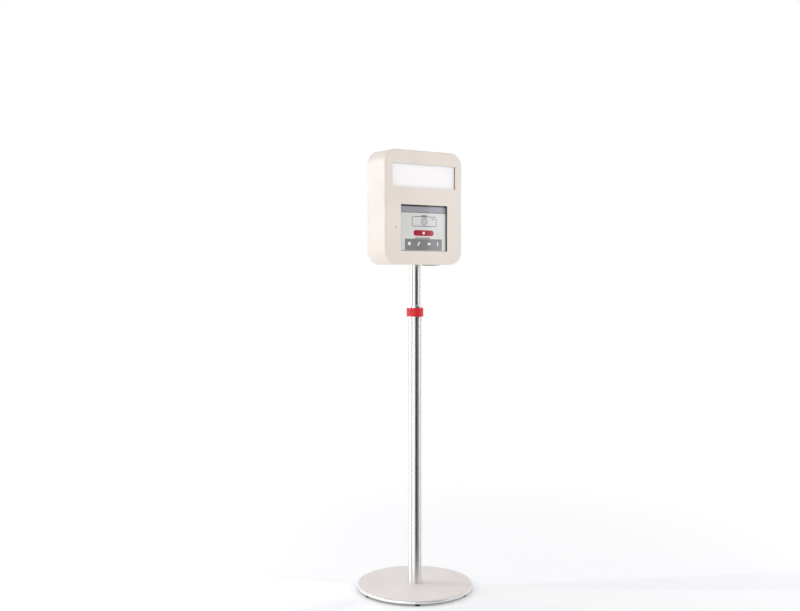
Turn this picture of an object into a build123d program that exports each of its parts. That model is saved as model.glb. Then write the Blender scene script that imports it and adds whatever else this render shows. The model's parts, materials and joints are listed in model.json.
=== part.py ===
from build123d import *
import math
import os

# Free-standing photo booth: a screen and light head on a telescopic mast and a round base.
# Millimetres. +Z is up, the floor is Z = 0, the mast stands on the Z axis, the screen faces -Y.

# Base
base_radius = 220.0
foot_height = 9.0
plate_thickness = 9.0
cover_thickness = 4.0
cover_inset = 3.0
trim_wall = 3.7
trim_rounding = 1.5
trim_seam_gap = 0.8
trim_seam_angle = 236.6
foot_count = 6
foot_radius = 10.0
foot_inset = 15.0
foot_angle = -2.0
foot_screw_radius = 2.5
foot_screw_grip = 6.0

# Mast
outer_tube_radius = 27.0
outer_tube_wall = 1.5
outer_tube_length = 1032.0
inner_tube_radius = 23.0
inner_tube_wall = 1.5
tube_overlap = 490.0
spigot_height = 80.0
mast_bolt_radius = 6.0
mast_bolt_grip = 45.0
washer_thickness = 2.0
bush_length = 40.0
foot_bush_length = 60.0
foot_bush_spigot = 30.0
bush_lip = 4.0

# Twist lock
collar_height = 33.0
collar_radius = 32.0
collar_wall = 2.7
collar_skirt = 10.0
collar_flutes = 18
flute_radius = 2.2
flute_depth = 0.8
ferrule_lip = 3.0
ferrule_inset = 1.0
nose_height = 9.0
nose_inset = 1.0
collet_slots = 6
collet_slot_width = 1.6
exposed_tube = 154.0

# Head casing
head_width = 350.0
head_height = 424.0
head_depth = 125.0
corner_radius = 50.0
front_rounding = 7.0
rear_rounding = 5.0
shell_wall = 3.0
cover_face = 3.0
cover_depth = 10.0
door_face = 2.5
door_depth = 8.0
flange_reach = 15.0
flange_thickness = 2.0
seam_chamfer = 0.4
screw_radius = 2.0
screw_head_radius = 3.6
screw_head_height = 2.4
screw_grip = 6.0
boss_radius = 4.5
opening_corner = 1.5
seal_width = 6.0

# Light window
window_width = 286.0
window_height = 86.0
window_top_margin = 52.0
window_recess = 8.0
gasket_border = 7.0
diffuser_lap = 5.0
diffuser_thickness = 3.0
light_box_depth = 16.5
light_box_wall = 2.0
light_box_ear = 8.0
board_thickness = 1.6
led_columns = 14
led_rows = 3
led_size = 4.0
led_height = 1.4

# Screen
screen_width = 212.0
screen_height = 172.0
screen_bottom_margin = 50.0
screen_recess = 13.0
bezel_gap = 0.4
bezel_border = 12.0
glass_lap = 9.0
glass_thickness = 2.8
panel_lap = 7.0
panel_thickness = 8.0
tray_thickness = 1.5
tray_ear = 22.0
driver_width = 120.0
driver_height = 70.0
driver_standoff = 4.2

# Camera, beside the screen
camera_x = -127.0
camera_hole_radius = 2.1
camera_lens_set_back = 0.6
camera_body = 12.0
camera_body_depth = 12.0
camera_bracket_height = 44.0
camera_bracket_width = 12.0
camera_bracket_thickness = 1.5

# Chassis and mast socket
chassis_sheet = 2.0
grommet_radius = 6.0
chassis_gap = 1.0
chassis_setback = 36.5
chassis_floor_end = 46.0
standoff_radius = 4.0
tube_in_head = 136.0
socket_wall = 5.0
socket_flange_radius = 45.0
socket_flange_thickness = 6.0
socket_cap = 5.0
socket_slit = 2.0
ear_length = 15.0
ear_thickness = 8.0
ear_height = 60.0
thrust_pad_thickness = 3.0
socket_bolt_radius = 2.5
clamp_screw_radius = 3.0

# Electronics in the rear of the head
pc_width = 118.0
pc_height = 115.0
pc_depth = 36.0
pc_x = -81.0
pc_slots = 7
pc_slot_pitch = 10.0
supply_width = 100.0
supply_height = 160.0
supply_depth = 38.0
supply_x = 72.0
device_base = 174.0
fan_size = 60.0
fan_depth = 15.0
fan_x = -95.0
fan_height = 344.0
fan_hub_radius = 11.0
fan_blades = 7
speaker_x = -85.0
speaker_y = 10.0
speaker_radius = 30.0
speaker_height = 20.0
inlet_x = 72.0
inlet_y = 12.0
inlet_width = 28.0
inlet_depth = 20.0
inlet_height = 26.0
inlet_flange = 2.5
inlet_ear = 11.0
inlet_wall = 1.8
switch_x = 109.0
switch_width = 13.0
switch_flange = 1.5
rocker_radius = 8.3
rocker_length = 10.2
rocker_tilt = 8.0

# Rear door
hinge_offset = 3.5
knuckle_radius = 3.3
knuckle_length = 20.0
pin_radius = 1.5
leaf_thickness = 1.5
leaf_width = 22.0
hinge_from_edge = 94.0
lock_from_edge = 33.0
lock_radius = 8.0
plug_radius = 5.0
cam_length = 28.0
cam_width = 11.0
cam_thickness = 2.5
vent_slots = 6
vent_length = 60.0
vent_width = 4.0
vent_pitch = 9.0

# Fits
running_gap = 0.05
snug_gap = 0.02
slip_gap = 0.3
hole_gap = 1.0

# Heights up the mast
plate_top = foot_height + plate_thickness
base_top = plate_top + cover_thickness
outer_tube_top = plate_top + outer_tube_length
collar_bottom = outer_tube_top - collar_skirt
collar_top = collar_bottom + collar_height
nose_top = collar_top + slip_gap + nose_height
head_bottom = nose_top - slip_gap + exposed_tube
head_top = head_bottom + head_height
head_middle = (head_bottom + head_top) / 2
inner_tube_bottom = outer_tube_top - tube_overlap
inner_tube_top = head_bottom + tube_in_head
outer_bore = outer_tube_radius - outer_tube_wall
inner_bore = inner_tube_radius - inner_tube_wall

# Places through the head, from the front (-Y) to the rear
front_y = -head_depth / 2
rear_y = head_depth / 2
cover_back = front_y + cover_face
shell_front = front_y + cover_depth
shell_rear = rear_y - door_depth
door_inside = rear_y - door_face
diffuser_front = front_y + window_recess
diffuser_back = diffuser_front + diffuser_thickness
light_box_back = diffuser_back + light_box_depth
glass_front = front_y + screen_recess
glass_back = glass_front + glass_thickness
panel_back = glass_back + panel_thickness
tray_back = panel_back + tray_thickness
driver_front = tray_back + driver_standoff
chassis_front = front_y + chassis_setback
chassis_back = chassis_front + chassis_sheet
window_middle = head_top - window_top_margin - window_height / 2
screen_middle = head_bottom + screen_bottom_margin + screen_height / 2
chassis_floor = head_bottom + shell_wall
socket_base = chassis_floor + chassis_sheet
socket_radius = inner_tube_radius + running_gap + socket_wall
socket_top = inner_tube_top + thrust_pad_thickness + socket_cap
screw_line_inset = (shell_wall + flange_reach) / 2
screw_line_x = head_width / 2 - screw_line_inset
hinge_x = head_width / 2 + hinge_offset
hinge_heights = (head_bottom + hinge_from_edge, head_top - hinge_from_edge)
lock_x = -head_width / 2 + lock_from_edge


def block(x_from, x_to, y_from, y_to, z_from, z_to):
    """A plain rectangular block between two corners."""
    middle = Pos((x_from + x_to) / 2, (y_from + y_to) / 2, (z_from + z_to) / 2)
    return middle * Box(x_to - x_from, y_to - y_from, z_to - z_from)


def rod_z(radius, z_from, z_to, x=0.0, y=0.0):
    """A round rod standing along Z."""
    return Pos(x, y, (z_from + z_to) / 2) * Cylinder(radius, z_to - z_from)


def rod_y(radius, y_from, y_to, x=0.0, z=0.0):
    """A round rod lying along Y."""
    return Pos(x, (y_from + y_to) / 2, z) * Rot(90, 0, 0) * Cylinder(radius, y_to - y_from)


def rod_x(radius, x_from, x_to, y=0.0, z=0.0):
    """A round rod lying along X."""
    return Pos((x_from + x_to) / 2, y, z) * Rot(0, 90, 0) * Cylinder(radius, x_to - x_from)


def ring_z(outer, inner, z_from, z_to):
    """A round ring about the Z axis."""
    return rod_z(outer, z_from, z_to) - rod_z(inner, z_from, z_to)


def panel(width, height, corner, y_from, y_to, z, x=0.0):
    """A plate with rounded corners, upright in the XZ plane."""
    face = Plane(origin=(x, y_from, z), x_dir=(1, 0, 0), z_dir=(0, -1, 0))
    return extrude(face * RectangleRounded(width, height, corner), amount=-(y_to - y_from))


def frame_panel(width, height, corner, border, y_from, y_to, z):
    """An upright rectangular ring with an even border."""
    inside = panel(width - 2 * border, height - 2 * border, corner - border, y_from, y_to, z)
    return panel(width, height, corner, y_from, y_to, z) - inside


def polar(radius, angle):
    """X and Y of a point on a circle about the mast."""
    return radius * math.cos(math.radians(angle)), radius * math.sin(math.radians(angle))


def group(solids):
    """Separate solids kept together as one part."""
    return Compound(children=list(solids))


def screw_y(x, z, head_y, length):
    """A pan-head screw along Y, put in from the rear, with its head on the +Y side of head_y."""
    head = rod_y(screw_head_radius, head_y, head_y + screw_head_height, x, z)
    return head + rod_y(screw_radius, head_y - length, head_y, x, z)


def outline(inset, y_from, y_to):
    """The head's outline, set in from its outside, between two depths."""
    return panel(
        head_width - 2 * inset, head_height - 2 * inset, corner_radius - inset, y_from, y_to, head_middle
    )


# ---- Base -------------------------------------------------------------------------------------

foot_places = [
    polar(base_radius - foot_inset, foot_angle + 360 / foot_count * step) for step in range(foot_count)
]


def make_base_plate():
    """The heavy steel disc, with the mast bolt's counterbore and blind foot-screw holes."""
    plate = rod_z(base_radius - trim_wall - running_gap, foot_height, plate_top)
    bolt_head_top = foot_height + plate_thickness / 2
    plate -= rod_z(mast_bolt_radius * 2.2, foot_height, bolt_head_top)
    plate -= rod_z(mast_bolt_radius + slip_gap, foot_height, plate_top)
    for x, y in foot_places:
        plate -= rod_z(foot_screw_radius + snug_gap, foot_height, foot_height + foot_screw_grip, x, y)
    return plate


def make_base_cover():
    """The painted top disc, open in the middle for the outer tube."""
    cover = rod_z(base_radius - cover_inset, plate_top, base_top)
    cover = fillet(cover.edges().group_by(Axis.Z)[-1], cover_thickness / 3)
    return cover - rod_z(outer_tube_radius + slip_gap, plate_top, base_top)


def make_edge_trim():
    """The band around the plate's rim, open at its one joint."""
    band = rod_z(base_radius, foot_height, plate_top)
    band = fillet(band.edges(), trim_rounding)
    band -= rod_z(base_radius - trim_wall, foot_height, plate_top)
    seam = block(0, base_radius + trim_wall, -trim_seam_gap / 2, trim_seam_gap / 2, foot_height, plate_top)
    return band - Rot(0, 0, trim_seam_angle) * seam


def make_foot_pads():
    """Rubber pads under the plate, each recessed for its screw."""
    recess = foot_height / 2
    pads = []
    for x, y in foot_places:
        pad = rod_z(foot_radius, 0, foot_height, x, y)
        pad = chamfer(pad.edges().group_by(Axis.Z)[0], foot_height / 6)
        pad -= rod_z(foot_screw_radius * 2 + slip_gap, 0, recess, x, y)
        pads.append(pad - rod_z(foot_screw_radius + snug_gap, 0, foot_height, x, y))
    return group(pads)


def make_foot_screws():
    """Pan-head screws that hold the pads to the plate."""
    screws = []
    for x, y in foot_places:
        head = rod_z(foot_screw_radius * 2, foot_height / 2 - foot_screw_radius, foot_height / 2, x, y)
        shank = rod_z(foot_screw_radius, foot_height / 2, foot_height + foot_screw_grip - slip_gap, x, y)
        screws.append(head + shank)
    return group(screws)


def make_mast_spigot():
    """The steel plug inside the foot of the outer tube, drilled for the mast bolt."""
    plug = rod_z(outer_bore - snug_gap, plate_top, plate_top + spigot_height)
    plug = chamfer(plug.edges().group_by(Axis.Z)[-1], 2)
    bore_top = foot_height + plate_thickness / 2 + mast_bolt_grip + slip_gap
    return plug - rod_z(mast_bolt_radius + snug_gap, plate_top, bore_top)


def make_mast_bolt():
    """The hexagon-head bolt from under the plate into the spigot."""
    seat = foot_height + plate_thickness / 2 - washer_thickness
    head_plane = Plane.XY.offset(seat - washer_thickness)
    head = extrude(head_plane * RegularPolygon(mast_bolt_radius * 1.7, 6), amount=washer_thickness)
    return head + rod_z(mast_bolt_radius, seat, foot_height + plate_thickness / 2 + mast_bolt_grip)


def make_mast_washer():
    """The washer between the bolt's head and the counterbore's floor."""
    top = foot_height + plate_thickness / 2
    return ring_z(mast_bolt_radius * 2.1, mast_bolt_radius + snug_gap, top - washer_thickness, top)


# ---- Mast -------------------------------------------------------------------------------------


def make_outer_tube():
    """The lower tube, standing on the plate over the spigot."""
    return ring_z(outer_tube_radius, outer_bore, plate_top, outer_tube_top)


def make_guide_bush():
    """The nylon bush in the mouth of the outer tube that guides the inner tube."""
    bore = inner_tube_radius + running_gap
    return ring_z(outer_bore - snug_gap, bore, outer_tube_top - bush_length, outer_tube_top)


def make_collar_ferrule():
    """The sleeve fixed on the outer tube that carries the collar; its lip shows below the collar."""
    bore = outer_tube_radius + snug_gap
    lip_top = collar_bottom - slip_gap
    sleeve = ring_z(collar_radius - collar_wall - slip_gap, bore, lip_top, outer_tube_top)
    return sleeve + ring_z(collar_radius - ferrule_inset, bore, lip_top - ferrule_lip, lip_top)


def make_collet():
    """The slotted nylon collet that grips the inner tube when the collar turns."""
    low = outer_tube_top
    outer = collar_radius - collar_wall - slip_gap
    collet = ring_z(outer, inner_tube_radius + running_gap, low, collar_top - hole_gap)
    for step in range(collet_slots):
        slot = block(0, collar_radius, -collet_slot_width / 2, collet_slot_width / 2, low + 5, collar_top)
        collet -= Rot(0, 0, 360 / collet_slots * step) * slot
    return collet


def make_locking_collar():
    """The twist collar, with shallow flutes around its grip."""
    collar = rod_z(collar_radius, collar_bottom, collar_top)
    collar = fillet(collar.edges(), flute_depth)
    collar -= rod_z(collar_radius - collar_wall, collar_bottom, collar_top)
    flute_circle = collar_radius + flute_radius - flute_depth
    for step in range(collar_flutes):
        x, y = polar(flute_circle, 360 / collar_flutes * (step + 0.5))
        collar -= rod_z(flute_radius, collar_bottom + 3, collar_top - 3, x, y)
    return collar


def make_nose_ring():
    """The bright ring above the collar that closes the lock around the inner tube."""
    ring = rod_z(collar_radius - nose_inset, collar_top, nose_top)
    ring = fillet(ring.edges().group_by(Axis.Z)[-1], nose_height / 3)
    return ring - rod_z(inner_tube_radius + slip_gap, collar_top, nose_top)


def make_inner_tube():
    """The upper tube, which slides in the outer tube and carries the head."""
    return ring_z(inner_tube_radius, inner_bore, inner_tube_bottom, inner_tube_top)


def make_foot_bush():
    """The nylon bush plugged into the lower end of the inner tube."""
    bore = inner_bore - bush_lip
    low, high = inner_tube_bottom - foot_bush_length, inner_tube_bottom + foot_bush_spigot
    foot = ring_z(outer_bore - running_gap, bore, low, inner_tube_bottom)
    return foot + ring_z(inner_bore - snug_gap, bore, inner_tube_bottom, high)


# ---- Head casing ------------------------------------------------------------------------------


def cover_screw_places():
    """Screw places around the casing's flange: three up each side, two along the top and bottom."""
    side_step = (head_height - 2 * corner_radius) / 2 - 3 * boss_radius
    end_step = head_height / 2 - screw_line_inset
    end_x = head_width * 0.23
    steps = (-1, 0, 1)
    sides = [(side * screw_line_x, head_middle + step * side_step) for side in (-1, 1) for step in steps]
    return sides + [(side * end_x, head_middle + end * end_step) for side in (-1, 1) for end in (-1, 1)]


def standoff_places():
    """Chassis standoffs, on the side flanges between the cover screws."""
    rise = head_height * 0.18
    return [(side * screw_line_x, head_middle + step * rise) for side in (-1, 1) for step in (-1, 1)]


def light_box_screw_places():
    """The four corner ears of the light box."""
    x = window_width / 2 + gasket_border + light_box_ear / 2
    z = window_height / 2 + gasket_border + light_box_ear / 2
    return [(i * x, window_middle + k * z) for i in (-1, 1) for k in (-1, 1)]


def tray_screw_places():
    """The four ears of the display tray, above and below the panel."""
    x = screen_width / 2 - 6
    z = screen_height / 2 + bezel_border + 5
    return [(i * x, screen_middle + k * z) for i in (-1, 1) for k in (-1, 1)]


def camera_screw_places():
    """The two screws of the camera bracket."""
    rise = camera_bracket_height / 2 - boss_radius
    return [(camera_x, screen_middle + k * rise) for k in (-1, 1)]


def boss(x, z, y_to):
    """A drilled screw boss standing on the back of the front cover."""
    hole = rod_y(screw_radius + snug_gap, cover_back, y_to, x, z)
    return rod_y(boss_radius, cover_back, y_to, x, z) - hole


def make_front_cover():
    """The front shell: a shallow tray with the light window, the screen opening and the camera hole."""
    cover = outline(0, front_y, shell_front)
    cover = fillet(cover.faces().sort_by(Axis.Y)[0].edges(), front_rounding)
    hollow = outline(shell_wall, cover_back, shell_front)
    cover -= fillet(hollow.faces().sort_by(Axis.Y)[0].edges(), front_rounding - shell_wall)
    cover -= panel(window_width, window_height, opening_corner, front_y, cover_back, window_middle)
    cover -= panel(screen_width, screen_height, opening_corner, front_y, cover_back, screen_middle)
    cover -= rod_y(camera_hole_radius, front_y, cover_back, camera_x, screen_middle)
    for x, z in cover_screw_places():
        cover += boss(x, z, shell_front)
    for x, z in light_box_screw_places():
        cover += boss(x, z, diffuser_back)
    for x, z in tray_screw_places():
        cover += boss(x, z, panel_back)
    for x, z in camera_screw_places():
        cover += boss(x, z, cover_back + camera_body_depth)
    return cover


def make_head_shell():
    """The side wrap: a rounded ring with an inward flange at each end, open below for the mast."""
    shell = outline(0, shell_front, shell_rear)
    shell = chamfer(shell.faces().sort_by(Axis.Y)[0].edges(), seam_chamfer)
    shell = chamfer(shell.faces().sort_by(Axis.Y)[-1].edges(), seam_chamfer)
    shell -= outline(shell_wall, shell_front + flange_thickness, shell_rear - flange_thickness)
    shell -= outline(flange_reach, shell_front, shell_rear)
    for x, z in cover_screw_places() + standoff_places():
        shell -= rod_y(screw_radius + slip_gap, shell_front, shell_front + flange_thickness, x, z)
    low, high = head_bottom, head_bottom + shell_wall
    shell -= rod_z(inner_tube_radius + hole_gap, low, high)
    shell -= block(*inlet_body(slip_gap), low, high)
    shell -= block(*switch_body(slip_gap), low, high)
    half_slot = speaker_radius / 2
    for step in (-1, 0, 1):
        x = speaker_x + step * half_slot
        shell -= block(x - 2, x + 2, speaker_y - half_slot, speaker_y + half_slot, low, high)
    return shell


# ---- Light window -----------------------------------------------------------------------------


def make_window_gasket():
    """The thin frame between the cover and the diffuser; its inner edge is the dark line."""
    width = window_width + 2 * gasket_border
    height = window_height + 2 * gasket_border
    border = gasket_border - bezel_gap / 2
    corner = border + opening_corner
    return frame_panel(width, height, corner, border, cover_back, diffuser_front, window_middle)


def make_light_diffuser():
    """The opal panel that shows in the window."""
    width = window_width + 2 * diffuser_lap
    height = window_height + 2 * diffuser_lap
    return panel(width, height, 2, diffuser_front, diffuser_back, window_middle)


def make_light_box():
    """The white reflector tray behind the diffuser, with an eared rim and a hole for its lead."""
    width = window_width + 2 * gasket_border
    height = window_height + 2 * gasket_border
    box = panel(width, height, 3, diffuser_back, light_box_back, window_middle)
    ear = 2 * light_box_ear
    box += panel(width + ear, height + ear, 6, diffuser_back, diffuser_back + light_box_wall, window_middle)
    inner_back = light_box_back - light_box_wall
    border = 2 * light_box_wall
    box -= panel(width - border, height - border, 2, diffuser_back, inner_back, window_middle)
    for x, z in light_box_screw_places():
        box -= rod_y(screw_radius + slip_gap, diffuser_back, diffuser_back + light_box_wall, x, z)
    return box


def make_led_board():
    """The aluminium-backed board that carries the LEDs."""
    back = light_box_back - light_box_wall
    return panel(window_width - 4, window_height - 4, 2, back - board_thickness, back, window_middle)


def make_leds():
    """The grid of white LEDs on the board."""
    face = light_box_back - light_box_wall - board_thickness
    step_x = window_width / led_columns
    step_z = window_height / led_rows
    half = led_size / 2
    leds = []
    for column in range(led_columns):
        for row in range(led_rows):
            x = (column - (led_columns - 1) / 2) * step_x
            z = window_middle + (row - (led_rows - 1) / 2) * step_z
            leds.append(block(x - half, x + half, face - led_height, face, z - half, z + half))
    return group(leds)


# ---- Screen -----------------------------------------------------------------------------------


def make_screen_bezel():
    """The deep black frame between the cover and the touch glass."""
    width = screen_width + 2 * bezel_border
    height = screen_height + 2 * bezel_border
    border = bezel_border - bezel_gap / 2
    corner = border + opening_corner
    return frame_panel(width, height, corner, border, cover_back, glass_front, screen_middle)


def make_touch_glass():
    """The touch panel's glass."""
    width = screen_width + 2 * glass_lap
    height = screen_height + 2 * glass_lap
    return panel(width, height, 2, glass_front, glass_back, screen_middle)


def make_lcd_panel():
    """The display module behind the glass."""
    width = screen_width + 2 * panel_lap
    height = screen_height + 2 * panel_lap
    return panel(width, height, 1, glass_back, panel_back, screen_middle)


def driver_middle():
    """Height of the driver board's middle, clear above the mast socket."""
    return socket_top + 12 + driver_height / 2


def driver_posts():
    """The four posts of the driver board on the display tray."""
    x = driver_width / 2 - 6
    z = driver_height / 2 - 6
    return [(i * x, driver_middle() + k * z) for i in (-1, 1) for k in (-1, 1)]


def make_display_tray():
    """The sheet that holds the display against the bezel, with posts for the driver board."""
    height = screen_height + 2 * tray_ear
    tray = panel(screen_width + 2 * panel_lap, height, 4, panel_back, tray_back, screen_middle)
    for x, z in tray_screw_places():
        tray -= rod_y(screw_radius + slip_gap, panel_back, tray_back, x, z)
    for x, z in driver_posts():
        tray += rod_y(boss_radius - 1.5, tray_back, driver_front, x, z)
    return tray


def make_driver_board():
    """The display's driver board."""
    back = driver_front + board_thickness
    return panel(driver_width, driver_height, 2, driver_front, back, driver_middle())


# ---- Camera -----------------------------------------------------------------------------------


def make_camera_lens():
    """The small lens barrel seen through the hole beside the screen."""
    radius = camera_hole_radius - running_gap
    barrel = rod_y(radius, front_y + camera_lens_set_back, cover_back, camera_x, screen_middle)
    return fillet(barrel.faces().sort_by(Axis.Y)[0].edges(), radius / 5)


def make_camera_module():
    """The camera's body behind the cover."""
    half = camera_body / 2
    z_from, z_to = screen_middle - half, screen_middle + half
    bracket_front = cover_back + camera_body_depth
    body = block(camera_x - half, camera_x + half, cover_back, bracket_front, z_from, z_to)
    return chamfer(body.edges().filter_by(Axis.Y), 1)


def make_camera_bracket():
    """The strap that presses the camera onto the cover."""
    front = cover_back + camera_body_depth
    back = front + camera_bracket_thickness
    strap = panel(camera_bracket_width, camera_bracket_height, 3, front, back, screen_middle, camera_x)
    for x, z in camera_screw_places():
        strap -= rod_y(screw_radius + slip_gap, front, back, x, z)
    return strap


# ---- Chassis and mast socket ------------------------------------------------------------------


def fan_z():
    """Height of the fan's axis."""
    return head_bottom + fan_height


def make_chassis_plate():
    """One bent sheet: an upright that fills the casing, and a floor under the mast socket."""
    upright = outline(shell_wall + chassis_gap, chassis_front, chassis_back)
    notch = socket_flange_radius + 2
    upright -= block(-notch, notch, chassis_front, chassis_back, head_bottom, socket_top + chassis_gap * 5)
    upright -= rod_y(fan_size / 2 - 3, chassis_front, chassis_back, fan_x, fan_z())
    for x, z in standoff_places():
        upright -= rod_y(screw_radius + slip_gap, chassis_front, chassis_back, x, z)
    for points in (light_lead_points(), display_lead_points()):
        x, _, z = points[-1]
        upright -= rod_y(grommet_radius, chassis_front, chassis_back, x, z)
    half = head_width / 2 - corner_radius - 5
    floor = block(-half, half, chassis_front, chassis_floor_end, chassis_floor, socket_base)
    floor -= rod_z(inner_tube_radius + hole_gap, chassis_floor, socket_base)
    floor -= block(*inlet_body(slip_gap), chassis_floor, socket_base)
    floor -= block(*switch_body(slip_gap), chassis_floor, socket_base)
    floor -= rod_z(speaker_radius / 2, chassis_floor, socket_base, speaker_x, speaker_y)
    for x, y in socket_bolt_places():
        floor -= rod_z(socket_bolt_radius + snug_gap, chassis_floor, socket_base, x, y)
    foot = block(-half, half, chassis_front, chassis_back, socket_base, head_bottom + corner_radius)
    foot -= block(-notch, notch, chassis_front, chassis_back, socket_base, socket_top)
    return upright + floor + foot


def make_standoffs():
    """Spacers between the front flange and the chassis upright."""
    low = shell_front + flange_thickness
    spacers = []
    for x, z in standoff_places():
        hole = rod_y(screw_radius + snug_gap, low, chassis_front, x, z)
        spacers.append(rod_y(standoff_radius, low, chassis_front, x, z) - hole)
    return group(spacers)


def make_case_screws():
    """The pan-head screws, all alike: casing flange, light box, display tray, camera and chassis."""
    flange_back = shell_front + flange_thickness
    flange_grip = cover_depth - cover_face + flange_thickness - 1
    bracket_back = cover_back + camera_body_depth + camera_bracket_thickness
    screws = [screw_y(x, z, flange_back, flange_grip) for x, z in cover_screw_places()]
    ear_back = diffuser_back + light_box_wall
    screws += [screw_y(x, z, ear_back, screw_grip) for x, z in light_box_screw_places()]
    screws += [screw_y(x, z, tray_back, screw_grip) for x, z in tray_screw_places()]
    screws += [screw_y(x, z, bracket_back, screw_grip) for x, z in camera_screw_places()]
    screws += [screw_y(x, z, chassis_back, chassis_sheet + screw_grip) for x, z in standoff_places()]
    return group(screws)


def socket_bolt_places():
    """The socket flange's four bolts."""
    circle = (socket_flange_radius + socket_radius) / 2
    return [polar(circle, 45 + 90 * step) for step in range(4)]


def clamp_screw_heights():
    """Heights of the two clamp screws across the socket's slit."""
    middle = (socket_base + socket_flange_thickness + socket_top) / 2
    return (middle - ear_height / 4, middle + ear_height / 4)


def clamp_screw_y():
    """Depth of the clamp screws, in the middle of the ears."""
    return socket_radius + ear_length / 2


def make_mast_socket():
    """The split hub on the chassis floor that clamps the top of the inner tube."""
    hub = rod_z(socket_radius, socket_base, socket_top)
    hub += rod_z(socket_flange_radius, socket_base, socket_base + socket_flange_thickness)
    middle = sum(clamp_screw_heights()) / 2
    ear_x = socket_slit / 2 + ear_thickness
    low, high = middle - ear_height / 2, middle + ear_height / 2
    ear_end = socket_radius + ear_length
    hub += block(-ear_x, ear_x, inner_tube_radius + socket_wall / 2, ear_end, low, high)
    bore_top = inner_tube_top + thrust_pad_thickness
    flange_top = socket_base + socket_flange_thickness
    hub -= rod_z(inner_tube_radius + running_gap, socket_base, bore_top)
    hub -= block(-socket_slit / 2, socket_slit / 2, 0, ear_end, low, high)
    for z in clamp_screw_heights():
        hub -= rod_x(clamp_screw_radius + snug_gap, -ear_x, ear_x, clamp_screw_y(), z)
    for x, y in socket_bolt_places():
        hub -= rod_z(socket_bolt_radius + snug_gap, socket_base, flange_top, x, y)
    return hub


def make_thrust_pad():
    """The nylon disc between the inner tube's end and the socket's cap."""
    return rod_z(inner_tube_radius, inner_tube_top, inner_tube_top + thrust_pad_thickness)


def make_socket_bolts():
    """Bolts that hold the socket's flange to the chassis floor."""
    top = socket_base + socket_flange_thickness
    head = socket_bolt_radius * 1.7
    return group(
        rod_z(socket_bolt_radius, chassis_floor, top, x, y) + rod_z(head, top, top + 3, x, y)
        for x, y in socket_bolt_places()
    )


def make_clamp_screws():
    """Cap screws that draw the socket's ears together."""
    ear_x = socket_slit / 2 + ear_thickness
    head = clamp_screw_radius * 1.6
    return group(
        rod_x(clamp_screw_radius, -ear_x - 2, ear_x, clamp_screw_y(), z)
        + rod_x(head, ear_x, ear_x + clamp_screw_radius * 2, clamp_screw_y(), z)
        for z in clamp_screw_heights()
    )


# ---- Electronics ------------------------------------------------------------------------------


def inlet_body(gap=0.0):
    """Plan of the power inlet's body through the floor, with a gap around it."""
    half_x = inlet_width / 2 + gap
    half_y = inlet_depth / 2 + gap
    return inlet_x - half_x, inlet_x + half_x, inlet_y - half_y, inlet_y + half_y


def switch_body(gap=0.0):
    """Plan of the rocker switch's body through the floor, with a gap around it."""
    half_x = switch_width / 2 + gap
    half_y = inlet_depth / 2 + gap
    return switch_x - half_x, switch_x + half_x, inlet_y - half_y, inlet_y + half_y


def make_mini_pc():
    """The small computer on the rear of the chassis upright, with cooling slots."""
    low = head_bottom + device_base
    back = chassis_back + pc_depth
    x_from, x_to = pc_x - pc_width / 2, pc_x + pc_width / 2
    body = block(x_from, x_to, chassis_back, back, low, low + pc_height)
    body = fillet(body.edges().filter_by(Axis.Y), 6)
    for step in range(pc_slots):
        z = low + pc_height / 4.6 + pc_slot_pitch * step
        body -= block(x_from + 20, x_to - 20, back - 1.5, back, z, z + pc_slot_pitch * 0.3)
    return body


def make_power_supply():
    """The power supply on the rear of the chassis upright."""
    low = head_bottom + device_base
    half = supply_width / 2
    back = chassis_back + supply_depth
    body = block(supply_x - half, supply_x + half, chassis_back, back, low, low + supply_height)
    return chamfer(body.edges().filter_by(Axis.Z), 2)


def make_fan_frame():
    """The square fan housing behind the light box, with its motor hub on struts."""
    back = chassis_back + fan_depth
    ring = panel(fan_size, fan_size, 5, chassis_back, back, fan_z(), fan_x)
    ring -= rod_y(fan_size / 2 - 2, chassis_back, back, fan_x, fan_z())
    ring += rod_y(fan_hub_radius, back - 2.5, back, fan_x, fan_z())
    for angle in (0, 45, 90, 135):
        strut = block(-fan_size / 2 + 1, fan_size / 2 - 1, back - 2.5, back, -1.2, 1.2)
        ring += Pos(fan_x, 0, fan_z()) * Rot(0, angle, 0) * strut
    return ring + rod_y(fan_hub_radius / 3, chassis_back + 4, back, fan_x, fan_z())


def make_fan_rotor():
    """The fan's impeller on the housing's stub shaft."""
    front, back = chassis_back + 1, chassis_back + fan_depth - 3.5
    rotor = rod_y(fan_hub_radius, front, back, 0, 0)
    tip = fan_size / 2 - 3.2
    for step in range(fan_blades):
        blade = Pos(0, (front + back) / 2, (fan_hub_radius + tip) / 2 - 0.5)
        blade = blade * Rot(0, 0, 38) * Box(1.3, back - front - 1.5, tip - fan_hub_radius + 1)
        rotor += Rot(0, 360 / fan_blades * step, 0) * blade
    rotor = rotor & rod_y(tip, front, back, 0, 0)
    rotor -= rod_y(fan_hub_radius / 3 + running_gap, chassis_back + 3.5, back, 0, 0)
    return Pos(fan_x, 0, fan_z()) * rotor


def make_speaker_frame():
    """The speaker's basket, facing down on the chassis floor."""
    top = socket_base + speaker_height
    basket = rod_z(speaker_radius, socket_base, socket_base + 3, speaker_x, speaker_y)
    basket += rod_z(speaker_radius * 0.8, socket_base + 3, top, speaker_x, speaker_y)
    return basket - rod_z(speaker_radius * 0.7, socket_base, top - 3, speaker_x, speaker_y)


def make_speaker_cone():
    """The speaker's paper cone inside its basket."""
    low = socket_base + 1
    cone = Pos(speaker_x, speaker_y, low + 6) * Cone(speaker_radius * 0.68, speaker_radius * 0.25, 12)
    hollow = Pos(speaker_x, speaker_y, low + 5) * Cone(speaker_radius * 0.64, speaker_radius * 0.21, 12)
    return cone - hollow


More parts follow.
